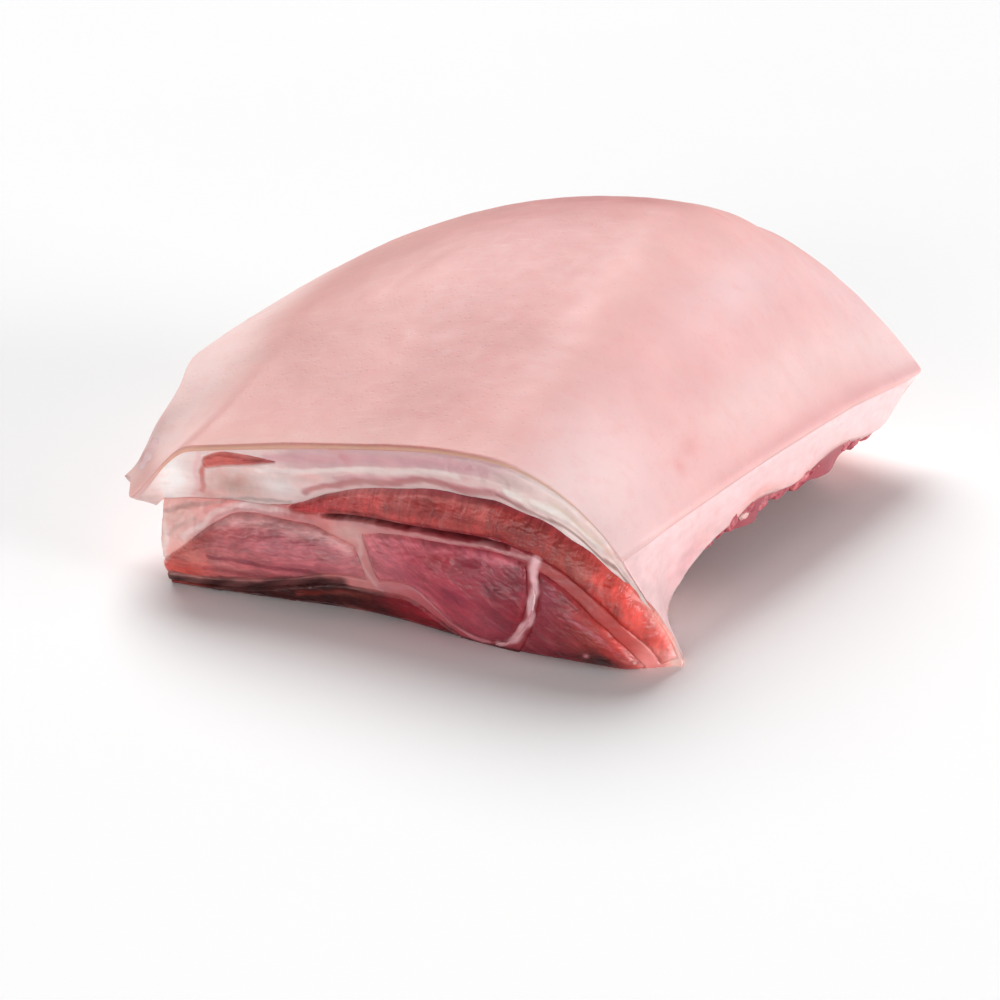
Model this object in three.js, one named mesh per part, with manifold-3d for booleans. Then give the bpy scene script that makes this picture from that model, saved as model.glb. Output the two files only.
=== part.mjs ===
// A slab of raw rind-on pork rib meat, lying rind up.
// Units are millimetres, +Z is up, +X runs to the right along the front cut and +Y runs to the back.
//
// The slab is two blocks, one on the other. The upper block is the rind with its fat. The lower block
// is lean meat in a web of seam fat: each muscle is a strand that runs through the slab from the front
// cut to the back cut and shows at both. A block is the space between two curved sheets, so a point in
// it has three shares, each from 0 to 1: across (left to right), along (front to back) and down (upper
// sheet to lower sheet).

import * as THREE from "three";
import { mergeVertices } from "three/addons/utils/BufferGeometryUtils.js";
import Module from "manifold-3d";

const wasm = await Module();
wasm.setup();

// ---- driving dimensions, mm ----
const RIND_LEFT = -20;          // rind's left edge at the front
const RIND_RIGHT = 162;         // rind's right edge at the front
const SPLAY = 57;               // how far the right edge has moved out at the back
const DEPTH = 196;              // front cut to back cut at the sides
const BACK_BULGE = 26;          // how far the back edge bows out
const FRONT_HEIGHT = 64;        // crown of the rind over the front cut
const CROWN_HEIGHT = 101;       // crown of the rind at its highest
const BACK_DROP = 26;           // how far the rind falls away towards the back edge
const LEFT_HEIGHT = 45;         // rind over the left side, at the front
const RIGHT_HEIGHT = 37;        // rind over the right side
const FLAP_DROP = 17;           // the loose corner of rind hangs this much lower
const FLAP_THICK = 6;           // that corner's thickness
const CAP = 14;                 // rind and fat together
const CAP_EXTRA = 8;            // more fat beside the upper muscle
const LEAN_LEFT = 2;            // left side of the lean, under the overhanging rind
const SOFT = 0.06;              // how softly the rind turns over at its crown
const OVERHANG = 0.145;         // share of the rind that stands past the lean there
const FOOT = 182;               // right end of the front cut, where the corner touches down
const SKIRT = 20;               // lower edge of the fat along the right side
const UNDERCUT = 15;            // how far the lean steps in below that edge
const DRAW_IN = 0.05;           // share by which the muscles keep clear of the right side
const ARCH = 15;                // height of the hollow under the slab
const RESTS_TO = 0.09;          // the underside is flat from the front cut back to this share
const RESTS_FROM = 0.91;        // and from this share to the back cut
const GAP = 0.6;                // clearance between neighbouring solids

// ---- outlines on the front cut, [x, z] in mm, each line from left to right ----
const FAT_EDGE = [[2, 31], [24, 34], [47, 35.5], [62, 41.5], [86, 47.5], [112, 50.5], [132, 48.5],
  [148, 41.5], [160, 33.5], [170, 23.5], [177, 11.5], [182, 2]];

// ends: how far the left and the right end are rounded. belly: how far a cut end swells out.
// slack: its bed's clearance, in gaps. roof: how much further up its bed is cut, against the fat.
const MUSCLES = {
  upper_lean: {
    colour: 0xa34a45,
    ends: [-1.5, 0],
    belly: 1.6,
    slack: 2,
    roof: 3,
    top: [[49, 36.2], [62, 44], [86, 50], [112, 53], [132, 51], [148, 44], [162, 36], [172, 25],
      [180.6, 3]],
    bottom: [[49, 33.2], [57, 33.9], [66, 35.4], [78, 36.2], [90, 36.6], [104, 37.7], [121, 38.6],
      [131, 37], [140, 34.2], [150, 28.6], [160, 21], [167, 14], [172, 7.6], [175.6, 0.8]],
  },
  left_lean: {
    colour: 0xab5f64,
    ends: [-1, 0.6],
    belly: 2.2,
    top: [[2, 10.6], [12, 18.8], [20, 25.4], [28, 30.2], [36, 31.2], [46, 30.8], [58, 30.4], [71.4, 26]],
    bottom: [[2, 4.4], [17, 4.8], [32, 6.5], [48, 9.9], [62, 13.4], [75.6, 13.4]],
  },
  middle_lean: {
    colour: 0x863546,
    ends: [0, 4],
    belly: 2.6,
    top: [[74, 30.6], [84, 32.6], [96, 33.5], [112, 34.6], [124, 34.9], [133.6, 33.2]],
    bottom: [[79.4, 13.6], [84, 15], [89, 15.6], [95, 13.8], [100.5, 9.4], [106, 4.8], [114, 1.9],
      [125.6, 1.8]],
  },
  right_lean: {
    colour: 0x9a3a3c,
    ends: [3, 0],
    belly: 2,
    top: [[137.6, 31.4], [144, 28.2], [150, 23.9], [155, 19.9], [160, 15.6], [166, 9.3], [169.4, 4.6],
      [171.6, 1]],
    bottom: [[129.6, 0], [170.8, 0]],
  },
  under_lean: {
    colour: 0x5c1c20,
    ends: [0, 0],
    belly: 0.8,
    top: [[2, 1.9], [17, 2.2], [32, 4], [48, 7.4], [62, 10.5], [75, 10.6], [84, 10.9], [90, 10.8],
      [97, 8], [103, 4.6], [108.6, 1.6]],
    bottom: [[2, 0], [110, 0]],
  },
};

const SKIN_LEAN = {
  colour: 0xc25048,
  ends: [-1, 0],
  belly: 0.6,
  top: [[17, 48], [23, 50.6], [32, 50.8], [42, 49.8]],
  bottom: [[18, 43.5], [24, 45.5], [33, 47], [42, 49]],
};

// The crevice under the upper muscle, which closes a little way in.
const CREVICE = {
  depth: 0.07,
  top: [[62, 34.4], [78, 35.5], [90, 35.9], [104, 37], [121, 37.9], [129, 36.8]],
  bottom: [[62, 34], [78, 35.1], [90, 35.5], [104, 36.6], [121, 37.5], [129, 36.5]],
};

// ---- how finely the solids are divided ----
const ALONG_CELLS = 12;         // for all of them alike, so that neighbours fit
const FLAP_CELLS = 6;           // across, where the rind stands past the lean
const LEAN_CELLS = 24;          // across the lean, and the fat over it
const CAP_DOWN_CELLS = 3;
const LEAN_DOWN_CELLS = 4;
const MUSCLE_CELLS = [12, 2];   // across and down
const SLIVER_CELLS = [5, 2];
const OVERRUN = 0.06;           // a cutting shape runs on past both cut faces by this share
const PROBE = 0.02;             // share of an outline over which its direction is taken
const SAME_POINT = 1e-4;        // vertices closer than this are one

// ---- small functions ----
const mix = (a, b, t) => a + (b - a) * t;
const clamp = (x, low, high) => Math.min(Math.max(x, low), high);
const bell = (x, centre, width) => Math.exp(-(((x - centre) / width) ** 2));
const wave = (t) => Math.sin(Math.PI * clamp(t, 0, 1));

function ease(from, to, x) {
  const t = clamp((x - from) / (to - from), 0, 1);
  return t * t * (3 - 2 * t);
}

// 0 at both ends and 1 at the peak. A larger power makes that side rise sooner.
function dome(share, peak, leftPower, rightPower) {
  const near = share < peak ? share / peak : (1 - share) / (1 - peak);
  const off = (Math.hypot(1 - clamp(near, 0, 1), SOFT) - SOFT) / (Math.hypot(1, SOFT) - SOFT);
  return 1 - off ** (share < peak ? leftPower : rightPower);
}

// Height over x of a smooth line through [x, z] points.
function heightOn(points, x) {
  const last = points.length - 1;
  const slopeAt = (i) => {
    const [xa, za] = points[Math.max(i - 1, 0)];
    const [xb, zb] = points[Math.min(i + 1, last)];
    return (zb - za) / (xb - xa);
  };
  let i = 0;
  while (i < last - 1 && x > points[i + 1][0]) i += 1;
  const [x0, z0] = points[i];
  const [x1, z1] = points[i + 1];
  const span = x1 - x0;
  const t = clamp((x - x0) / span, 0, 1);
  const start = z0 + slopeAt(i) * span * t;
  const end = z1 - slopeAt(i + 1) * span * (1 - t);
  return mix(start, end, ease(0, 1, t));
}

// ---- the rind, seen from above ----
const rindLeft = (along) => RIND_LEFT - 5 * wave(along / 0.9) + 4 * along
  + 9 * ease(0.8, 0.86, along) - 3 * (1 - ease(0, 0.1, along))
  - 1.5 * bell(along, 0.09, 0.05) + 4 * bell(along, 0.28, 0.08);
const rindRight = (along) => RIND_RIGHT + SPLAY * along ** 0.97;
const frontEdge = (across) => -5 * ease(0.3, 0.9, across);
const backEdge = (across) => DEPTH + BACK_BULGE * wave(across) ** 0.8 - 8 * (1 - across);
const cornerTuck = (across, along) => (1 - ease(0, 0.25, along))
  * (19 * (1 - ease(0, 0.085, across)) - 6 * bell(across, 0.1, 0.06));

function rindHeight(across, along) {
  const rise = wave(clamp(along / 1.48, 0, 0.5)) ** 1.15;
  const crown = mix(FRONT_HEIGHT, CROWN_HEIGHT, rise) - BACK_DROP * ease(0.68, 1.06, along) ** 1.3;
  const crownAt = mix(0.7, 0.665, ease(0, 0.6, along));
  const left = LEFT_HEIGHT + 7 * ease(0.1, 0.4, along) - 4 * ease(0.75, 1, along)
    + 4 * ease(0.78, 0.86, along);
  const right = RIGHT_HEIGHT + 3 * wave(along) - 2.5 * ease(0.7, 1, along);
  const leftPower = mix(1.15, 2, ease(0, 0.6, along)) + 0.1 * ease(0.7, 0.9, along);
  const rightPower = mix(2.4, 1.48, along);
  const notch = 2.3 * bell(across, 0.06, 0.09) * ease(0.82, 0.9, along);
  const flap = FLAP_DROP * (1 - ease(0.06, 0.19, across)) * (1 - ease(0, 0.36, along));
  const edge = across < crownAt ? left : right;
  return mix(edge, crown, dome(across, crownAt, leftPower, rightPower)) + notch - flap;
}

function rindPoint(across, along) {
  return [
    mix(rindLeft(along), rindRight(along), across),
    mix(frontEdge(across), backEdge(across), along) + cornerTuck(across, along),
    rindHeight(across, along),
  ];
}

// Share across the rind that stands over a given x.
const rindShare = (x, along) => (x - rindLeft(along)) / (rindRight(along) - rindLeft(along));

// ---- the sheet between the fat and the lean ----
const leanLeft = (along) => LEAN_LEFT - 14 * ease(0.12, 0.5, along);
const fatRight = (along) => mix(FOOT, rindRight(along) - 2, ease(0, 0.16, along));
const scraps = (along) => bell(along, 0.43, 0.07) + bell(along, 0.7, 0.09);
const skirtHeight = (along) => mix(FAT_EDGE.at(-1)[1], SKIRT, ease(0.02, 0.32, along))
  + 11 * ease(0.86, 1, along) + 5 * scraps(along);

function fatUnderside(share, along) {
  const x = mix(leanLeft(along), fatRight(along), share);
  const over = clamp(rindShare(x, along), 0, 1);
  const thick = CAP + CAP_EXTRA * bell(share, 0.26, 0.13);
  const inside = Math.max(rindHeight(over, along) - thick, skirtHeight(along));
  const behind = mix(inside, skirtHeight(along), ease(0.7, 1, share) ** 1.5);
  const front = heightOn(FAT_EDGE, mix(LEAN_LEFT, FOOT, share));
  return mix(front, behind, ease(0, 0.22, along));
}

const cutFront = (share) => -1.5 - 8 * ease(0.35, 0.75, share) * (1 - ease(0.9, 1, share));
const cutBack = (share) => DEPTH - 3 + (BACK_BULGE - 4) * wave(share) ** 0.8 - 6 * (1 - share);

function leanTop(share, along) {
  return [
    mix(leanLeft(along), fatRight(along), share),
    mix(cutFront(share) + 1, cutBack(share), along),
    fatUnderside(share, along),
  ];
}

// ---- the underside: flat where it rests, arched in between ----
function leanBottom(share, along) {
  const inset = UNDERCUT + 30 * ease(0.76, 1, along);
  const hang = 11 * clamp(scraps(along), 0, 1) * ease(0.85, 1, share);
  const arch = ARCH * ease(RESTS_TO, 0.42, along) * (1 - ease(0.74, RESTS_FROM, along));
  const tuck = 2.5 * bell(share, 0.4, 0.2);
  return [
    mix(leanLeft(along) + 1, mix(FOOT, rindRight(along) - inset, ease(0, 0.3, along)), share) + hang,
    mix(cutFront(share) + tuck, cutBack(share) - 4, along),
    arch * mix(0.6, 1, share),
  ];
}

// ---- the two blocks ----
const between = (p, q, t) => p.map((value, axis) => mix(value, q[axis], t));

// Both cut faces of the lean belly out between the fat and the table.
function leanPoint(share, along, down) {
  const inside = clamp(along, 0, 1);
  const [x, y, z] = between(leanTop(share, inside), leanBottom(share, inside), down);
  const belly = 4 * wave(down) * (1 - 2 * inside) * (1 - ease(0.85, 1, share));
  return [x, y - belly + DEPTH * (along - inside), z];
}

// The fat block overhangs the lean on the left, and its near corner there is the loose flap.
function capUnderside(across, along) {
  const share = (across - OVERHANG) / (1 - OVERHANG);
  if (share >= 0) return leanTop(share, along);
  const reach = across / OVERHANG;
  const [x, y, z] = rindPoint(across, along);
  const flap = [x + 8 * (1 - reach), y + 1.5, z - mix(FLAP_THICK, FLAP_THICK + 4, reach)];
  return between(flap, leanTop(0, along), ease(-0.3, 1, reach));
}

function capPoint(across, along, down, clearance = GAP) {
  const inside = clamp(along, 0, 1);
  const [x, y, z] = between(rindPoint(across, inside), capUnderside(across, inside), down);
  const lip = 2 * wave(down) * (1 - ease(0, 0.08, across));
  return [x - lip, y + DEPTH * (along - inside), z + clearance * down];
}

// ---- from shares on the front cut to a point of a block ----
const onCut = (line, share) => line.getPointAt(clamp(share, 0, 1));
const lineThrough = (points) => new THREE.SplineCurve(points.map(([x, z]) => new THREE.Vector2(x, z)));

// A muscle's section as a function of two shares: s along its length, t from its top to its bottom.
function sectionOf({ top, bottom, ends = [0, 0], roof = 0 }, grow = 0) {
  const upper = lineThrough(top);
  const lower = lineThrough(bottom);
  const at = (s, t) => {
    const p = onCut(upper, s).lerp(onCut(lower, s), t);
    p.x += wave(t) * (ends[0] * (1 - s) ** 2 + ends[1] * s ** 2);
    if (roof) p.y = Math.min(p.y, heightOn(FAT_EDGE, p.x) - GAP);
    return p;
  };
  return (s, t) => {
    const run = at(Math.min(s + PROBE, 1), t).sub(at(Math.max(s - PROBE, 0), t)).normalize();
    const out = grow * (1 - 2 * t) + (grow ? roof * (1 - t) : 0);
    const past = grow * (2 * s - 1) ** 3;
    const p = at(s, t);
    return [p.x + past * run.x - out * run.y, p.y + past * run.y + out * run.x];
  };
}

// Carries a point of the front cut through the lean. Behind the foot, the muscles draw in a little
// from the right side, where the fat comes down over them.
function throughLean(x, z, along) {
  const height = heightOn(FAT_EDGE, x);
  const share = ((x - LEAN_LEFT) / (FOOT - LEAN_LEFT)) * (1 - DRAW_IN * ease(0, 0.3, along));
  return leanPoint(share, along, (height - z) / height);
}

function throughFat(x, z, along) {
  const across = rindShare(x, 0);
  const height = rindHeight(across, 0);
  return capPoint(across, along, (height - z) / (height - heightOn(FAT_EDGE, x)));
}

// A strand with the given section. Its cut ends swell out by the belly.
function strand(place, shape) {
  const section = sectionOf(shape);
  return (s, v, t) => {
    const [x, z] = section(s, t);
    const [px, py, pz] = place(x, z, v);
    return [px, py - shape.belly * wave(s) ** 0.6 * wave(t) * (1 - 2 * v) ** 5, pz];
  };
}

// The shape that cuts a strand's bed: a gap wider all round and longer at both ends.
function bed(place, shape) {
  const section = sectionOf(shape, GAP * (shape.slack ?? 1));
  return (s, v, t) => place(...section(s, t), v);
}

// ---- from points to solids ----
function geometryOf(positions, triangles) {
  const geometry = new THREE.BufferGeometry();
  geometry.setAttribute("position", new THREE.Float32BufferAttribute(positions, 3));
  geometry.setIndex(triangles);
  return mergeVertices(geometry, SAME_POINT);
}

// Evenly spaced shares from 0 to 1.
const shares = (cells) => Array.from({ length: cells + 1 }, (_, i) => i / cells);
const STATIONS = shares(ALONG_CELLS);
const FLAP_SHARES = shares(FLAP_CELLS).slice(0, -1).map((share) => share * OVERHANG);
const FAT_SHARES = shares(LEAN_CELLS).map((share) => mix(OVERHANG, 1, share));

// The six faces of a block as one closed surface, with a point at each of the given shares.
function blockGeometry(point, across, down, along = STATIONS) {
  const first = along[0];
  const last = along.at(-1);
  const positions = [];
  const triangles = [];
  const face = (rows, columns, at) => {
    const start = positions.length / 3;
    for (const r of rows) {
      for (const c of columns) positions.push(...at(r, c));
    }
    for (let i = 0; i < rows.length - 1; i += 1) {
      for (let j = 0; j < columns.length - 1; j += 1) {
        const a = start + i * columns.length + j;
        const b = a + columns.length;
        triangles.push(a, b, a + 1, a + 1, b, b + 1);
      }
    }
  };
  face(across, along, (s, v) => point(s, v, 0));
  face(along, across, (v, s) => point(s, v, 1));
  face(along, down, (v, t) => point(0, v, t));
  face(down, along, (t, v) => point(1, v, t));
  face(down, across, (t, s) => point(s, first, t));
  face(across, down, (s, t) => point(s, last, t));
  return geometryOf(positions, triangles);
}

function solidOf(geometry) {
  return new wasm.Manifold(new wasm.Mesh({
    numProp: 3,
    vertProperties: new Float32Array(geometry.attributes.position.array),
    triVerts: new Uint32Array(geometry.index.array),
  }));
}

// The largest piece of a solid as a geometry, without the loose scraps that a cut leaves.
function largestOf(solid) {
  const larger = (a, b) => (b.volume() > a.volume() ? b : a);
  const mesh = solid.decompose().reduce(larger).getMesh();
  return geometryOf(Array.from(mesh.vertProperties), Array.from(mesh.triVerts));
}

// ---- the pieces ----
function meshOf(name, geometry, colour, roughness = 0.4) {
  geometry.computeVertexNormals();
  const material = new THREE.MeshStandardMaterial({ color: colour, roughness, metalness: 0 });
  const mesh = new THREE.Mesh(geometry, material);
  mesh.name = name;
  return mesh;
}

function strandGeometry(point, [acrossCells, downCells], along) {
  return blockGeometry(point, shares(acrossCells), shares(downCells), along);
}

function bedOf(place, shape, cells, along = [-OVERRUN, ...STATIONS, 1 + OVERRUN]) {
  return solidOf(strandGeometry(bed(place, shape), cells, along));
}

function fatBlock(point) {
  return solidOf(blockGeometry(point, [...FLAP_SHARES, ...FAT_SHARES], shares(CAP_DOWN_CELLS)));
}

function rindAndFat() {
  const carved = fatBlock(capPoint).subtract(bedOf(throughFat, SKIN_LEAN, SLIVER_CELLS));
  return meshOf("rind_and_fat", largestOf(carved), 0xf3c3bc, 0.45);
}

function skinLean() {
  return meshOf("skin_lean", strandGeometry(strand(throughFat, SKIN_LEAN), SLIVER_CELLS), SKIN_LEAN.colour);
}

// A muscle that lies against the fat is trimmed to it.
function muscle(name) {
  const shape = MUSCLES[name];
  let geometry = strandGeometry(strand(throughLean, shape), MUSCLE_CELLS);
  if (shape.roof) {
    const lowered = fatBlock((across, along, down) => capPoint(across, along, down, -GAP / 2));
    geometry = largestOf(solidOf(geometry).subtract(lowered));
  }
  return meshOf(name, geometry, shape.colour);
}

function seamFat() {
  const beds = Object.values(MUSCLES).map((shape) => bedOf(throughLean, shape, MUSCLE_CELLS));
  beds.push(bedOf(throughLean, CREVICE, SLIVER_CELLS, [-OVERRUN, CREVICE.depth]));
  const block = solidOf(blockGeometry(leanPoint, shares(LEAN_CELLS), shares(LEAN_DOWN_CELLS)));
  const carved = beds.reduce((rest, next) => rest.subtract(next), block);
  return meshOf("seam_fat", largestOf(carved), 0xe3b9b4, 0.45);
}

const slab = new THREE.Group();
slab.add(rindAndFat(), skinLean(), seamFat(), ...Object.keys(MUSCLES).map(muscle));

// The origin is the middle of the base.
const box = new THREE.Box3().setFromObject(slab);
slab.position.set(-(box.min.x + box.max.x) / 2, -(box.min.y + box.max.y) / 2, -box.min.z);

export default slab;
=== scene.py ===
import bpy
import numpy as np
from bpy.props import FloatProperty, FloatVectorProperty, IntProperty, PointerProperty
from bpy.types import Operator, Panel, PropertyGroup
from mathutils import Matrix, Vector
from mathutils.geometry import delaunay_2d_cdt


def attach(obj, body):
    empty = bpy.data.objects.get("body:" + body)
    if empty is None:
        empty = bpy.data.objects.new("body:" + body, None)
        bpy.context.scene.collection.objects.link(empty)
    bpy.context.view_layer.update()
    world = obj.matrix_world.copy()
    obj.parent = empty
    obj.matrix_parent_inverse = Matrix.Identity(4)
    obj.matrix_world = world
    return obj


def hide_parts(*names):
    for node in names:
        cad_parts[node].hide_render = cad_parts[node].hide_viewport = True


bl_info = {
    "name": "Raw pork rib slab",
    "version": (1, 0, 0),
    "blender": (4, 5, 0),
    "location": "3D View > Sidebar > Slab",
    "description": "Rind, fat, muscles and membranes of a raw slab of rind-on pork",
    "category": "Add Mesh",
}

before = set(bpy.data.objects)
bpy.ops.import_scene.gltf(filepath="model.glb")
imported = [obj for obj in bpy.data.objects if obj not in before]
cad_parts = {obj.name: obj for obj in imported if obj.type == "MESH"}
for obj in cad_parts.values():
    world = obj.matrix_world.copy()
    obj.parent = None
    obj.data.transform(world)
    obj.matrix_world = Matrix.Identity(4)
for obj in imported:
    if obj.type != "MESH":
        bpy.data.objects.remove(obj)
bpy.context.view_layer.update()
MM = 0.001

# ---------------------------------------------------------------------------
# The slab's shape. Lengths here are millimetres in the slab's own coordinates: x along the front cut
# from its left corner, y to the back, z up. to_frame() turns them into metres in the row frame.
# ---------------------------------------------------------------------------

BASE_MIDDLE = np.array([97.958, 102.012, 0.0])     # the row frame's origin

RIND_LEFT, RIND_RIGHT = -20, 162                   # the rind's edges at the front
SPLAY = 57                                         # how far its right edge has moved out at the back
DEPTH = 196                                        # front cut to back cut at the sides
BACK_BULGE = 26
FRONT_HEIGHT, CROWN_HEIGHT, BACK_DROP = 64, 101, 26
LEFT_HEIGHT, RIGHT_HEIGHT = 45, 37
FLAP_DROP, FLAP_THICK = 17, 6                      # the loose corner of rind
CAP, CAP_EXTRA = 14, 8                             # rind and fat together, and more over the seam
LEAN_LEFT, FOOT = 2, 182                           # the front cut's two ends
SOFT = 0.06                                        # how softly the rind turns over at its crown
OVERHANG = 0.145                                   # share of the rind that stands past the lean
SKIRT, UNDERCUT = 20, 15                           # the fat's lower edge along the right side
DRAW_IN = 0.05
ARCH = 15                                          # the hollow under the slab
RESTS_TO, RESTS_FROM = 0.09, 0.91

# Outlines on the front cut, [x, z], each from left to right.
FAT_EDGE = np.array([[2, 31], [24, 34], [47, 35.5], [62, 41.5], [86, 47.5], [112, 50.5], [132, 48.5],
                     [148, 41.5], [160, 33.5], [170, 23.5], [177, 11.5], [182, 2]])

# ends: how far the left and right end are rounded. belly: how far a cut end swells out.
# tones: the colour from left to right. slot: the record's material slot. fibres: how steeply the fibre
# streaks run on the cut, in degrees. pale: strength of the pale marbling. wet: strength of the wet film.
MUSCLES = {
    "upper_lean": {
        "top": [[49, 36.2], [62, 44], [86, 50], [112, 53], [132, 51], [148, 44], [162, 36], [172, 25],
                [180.6, 3]],
        "bottom": [[49, 33.2], [57, 33.9], [66, 35.4], [78, 36.2], [90, 36.6], [104, 37.7], [121, 38.6],
                   [131, 37], [140, 34.2], [150, 28.6], [160, 21], [167, 14], [172, 7.6], [175.6, 0.8]],
        "ends": (-1.5, 0), "belly": 2.2, "slot": "red_lean", "fibres": 80, "pale": 0.25, "wet": 0.22,
        "tones": [(49, "#c3484c"), (58, "#bb3a3e"), (75, "#c3504d"), (100, "#b94543"), (125, "#b03d39"),
                  (140, "#993634"), (152, "#a63f3b"), (163, "#bd4841"), (176, "#d65b52")],
    },
    "left_lean": {
        "top": [[2, 10.6], [12, 18.8], [20, 25.4], [28, 30.2], [36, 31.2], [46, 30.8], [58, 30.4],
                [71.4, 26]],
        "bottom": [[2, 4.4], [17, 4.8], [32, 6.5], [48, 9.9], [62, 13.4], [75.6, 13.4]],
        "ends": (-1, 0.6), "belly": 2.4, "slot": "pale_lean", "fibres": 4, "pale": 0.35, "wet": 0.28,
        "tones": [(2, "#d15951"), (14, "#c75f5b"), (24, "#c7696b"), (45, "#ba5f67"), (60, "#be656e"),
                  (75, "#c67279")],
    },
    "middle_lean": {
        "top": [[74, 30.6], [84, 32.6], [96, 33.5], [112, 34.6], [124, 34.9], [133.6, 33.2]],
        "bottom": [[79.4, 13.6], [84, 15], [89, 15.6], [95, 13.8], [100.5, 9.4], [106, 4.8], [114, 1.9],
                   [125.6, 1.8]],
        "ends": (0, 4), "belly": 2.6, "slot": "purple_lean", "fibres": -35, "pale": 0.2, "wet": 0.32,
        "tones": [(80, "#cd6e77"), (92, "#c55765"), (104, "#b64253"), (118, "#a03445"),
                  (130, "#902738"), (137, "#a4394a")],
    },
    "right_lean": {
        "top": [[137.6, 31.4], [144, 28.2], [150, 23.9], [155, 19.9], [160, 15.6], [166, 9.3], [169.4, 4.6],
                [171.6, 1]],
        "bottom": [[129.6, 0], [170.8, 0]],
        "ends": (3, 0), "belly": 2.2, "slot": "red_lean", "fibres": -30, "pale": 0.2, "wet": 0.28,
        "tones": [(128, "#8f2c3d"), (142, "#962e3c"), (154, "#a03433"), (162, "#bd443f"), (170, "#d9605a")],
    },
    # Partly the dark meat under the slab, partly painted shade: the lowest layer, where the cut turns under
    # towards the table, has near black tones.
    "under_lean": {
        "top": [[2, 1.9], [17, 2.2], [32, 4], [48, 7.4], [62, 10.5], [75, 10.6], [84, 10.9], [90, 10.8],
                [97, 8], [103, 4.6], [108.6, 1.6]],
        "bottom": [[2, 0], [110, 0]],
        "ends": (0, 0), "belly": 0.8, "slot": "dark_lean", "fibres": 0, "pale": 0.05, "wet": 0.06,
        "tones": [(2, "#ac2f29"), (10, "#7a1716"), (18, "#3f0909"), (40, "#3a0808"), (70, "#3f090b"),
                  (90, "#7d1a22"), (110, "#5a0e14")],
    },
}

SKIN_LEAN = {
    "top": [[17, 48], [23, 50.6], [32, 50.8], [42, 49.8]],
    "bottom": [[18, 43.5], [24, 45.5], [33, 47], [42, 49]],
    "ends": (-1, 0), "belly": 0.8, "slot": "red_lean", "fibres": 10, "pale": 0.2, "wet": 0.3,
    "tones": [(16, "#c9605a"), (26, "#c8584f"), (34, "#b5423f"), (42, "#8c2c2c")],
}

CREVICE = np.array([[60, 34.3], [70, 35.2], [80, 35.7], [90, 36.1], [104, 37.1], [118, 37.9], [127, 37.3]])
CREVICE_WIDE, CREVICE_DEEP = 1.9, 9


def mix(a, b, t):
    return a + (b - a) * t


def wave(t):
    return np.sin(np.pi * np.clip(t, 0, 1))


def bell(x, centre, width):
    return np.exp(-(((x - centre) / width) ** 2))


def ease(low, high, x):
    t = np.clip((x - low) / (high - low), 0, 1)
    return t * t * (3 - 2 * t)


def dome(share, peak, left_power, right_power):
    """0 at both ends and 1 at the peak. A larger power makes that side rise sooner."""
    near = np.where(share < peak, share / peak, (1 - share) / (1 - peak))
    off = (np.hypot(1 - np.clip(near, 0, 1), SOFT) - SOFT) / (np.hypot(1, SOFT) - SOFT)
    return 1 - off ** np.where(share < peak, left_power, right_power)


def height_on(points, x):
    """Height over x of a smooth line through [x, z] points."""
    px, pz = points[:, 0], points[:, 1]
    last = len(px) - 1
    before, after = np.maximum(np.arange(last + 1) - 1, 0), np.minimum(np.arange(last + 1) + 1, last)
    slope = (pz[after] - pz[before]) / (px[after] - px[before])
    i = np.searchsorted(px[1:-1], x)
    span = px[i + 1] - px[i]
    t = np.clip((x - px[i]) / span, 0, 1)
    start = pz[i] + slope[i] * span * t
    end = pz[i + 1] - slope[i + 1] * span * (1 - t)
    return mix(start, end, ease(0, 1, t))


def rind_left(along):
    return (RIND_LEFT - 5 * wave(along / 0.9) + 4 * along + 9 * ease(0.8, 0.86, along)
            - 3 * (1 - ease(0, 0.1, along)) - 1.5 * bell(along, 0.09, 0.05) + 4 * bell(along, 0.28, 0.08))


def rind_right(along):
    return RIND_RIGHT + SPLAY * along ** 0.97


def rind_share(x, along):
    """Share across the rind that stands over a given x."""
    return (x - rind_left(along)) / (rind_right(along) - rind_left(along))


def rind_height(across, along):
    rise = wave(np.clip(along / 1.48, 0, 0.5)) ** 1.15
    crown = mix(FRONT_HEIGHT, CROWN_HEIGHT, rise) - BACK_DROP * ease(0.68, 1.06, along) ** 1.3
    crown_at = mix(0.7, 0.665, ease(0, 0.6, along))
    left = LEFT_HEIGHT + 7 * ease(0.1, 0.4, along) - 4 * ease(0.75, 1, along) + 4 * ease(0.78, 0.86, along)
    right = RIGHT_HEIGHT + 3 * wave(along) - 2.5 * ease(0.7, 1, along)
    left_power = mix(1.15, 2, ease(0, 0.6, along)) + 0.1 * ease(0.7, 0.9, along)
    right_power = mix(2.4, 1.48, along)
    notch = 2.3 * bell(across, 0.06, 0.09) * ease(0.82, 0.9, along)
    flap = FLAP_DROP * (1 - ease(0.06, 0.19, across)) * (1 - ease(0, 0.36, along))
    edge = np.where(across < crown_at, left, right)
    return mix(edge, crown, dome(across, crown_at, left_power, right_power)) + notch - flap


def rind_point(across, along):
    front = -5 * ease(0.3, 0.9, across)
    back = DEPTH + BACK_BULGE * wave(across) ** 0.8 - 8 * (1 - across)
    tuck = (1 - ease(0, 0.25, along)) * (19 * (1 - ease(0, 0.085, across)) - 6 * bell(across, 0.1, 0.06))
    return np.stack([mix(rind_left(along), rind_right(along), across),
                     mix(front, back, along) + tuck,
                     rind_height(across, along)], -1)


def lean_left(along):
    return LEAN_LEFT - 14 * ease(0.12, 0.5, along)


def fat_right(along):
    return mix(FOOT, rind_right(along) - 2, ease(0, 0.16, along))


def scrap_bumps(along):
    return bell(along, 0.43, 0.07) + bell(along, 0.7, 0.09)


def skirt_height(along):
    return (mix(FAT_EDGE[-1, 1], SKIRT, ease(0.02, 0.32, along)) + 11 * ease(0.86, 1, along)
            + 5 * scrap_bumps(along))


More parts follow.
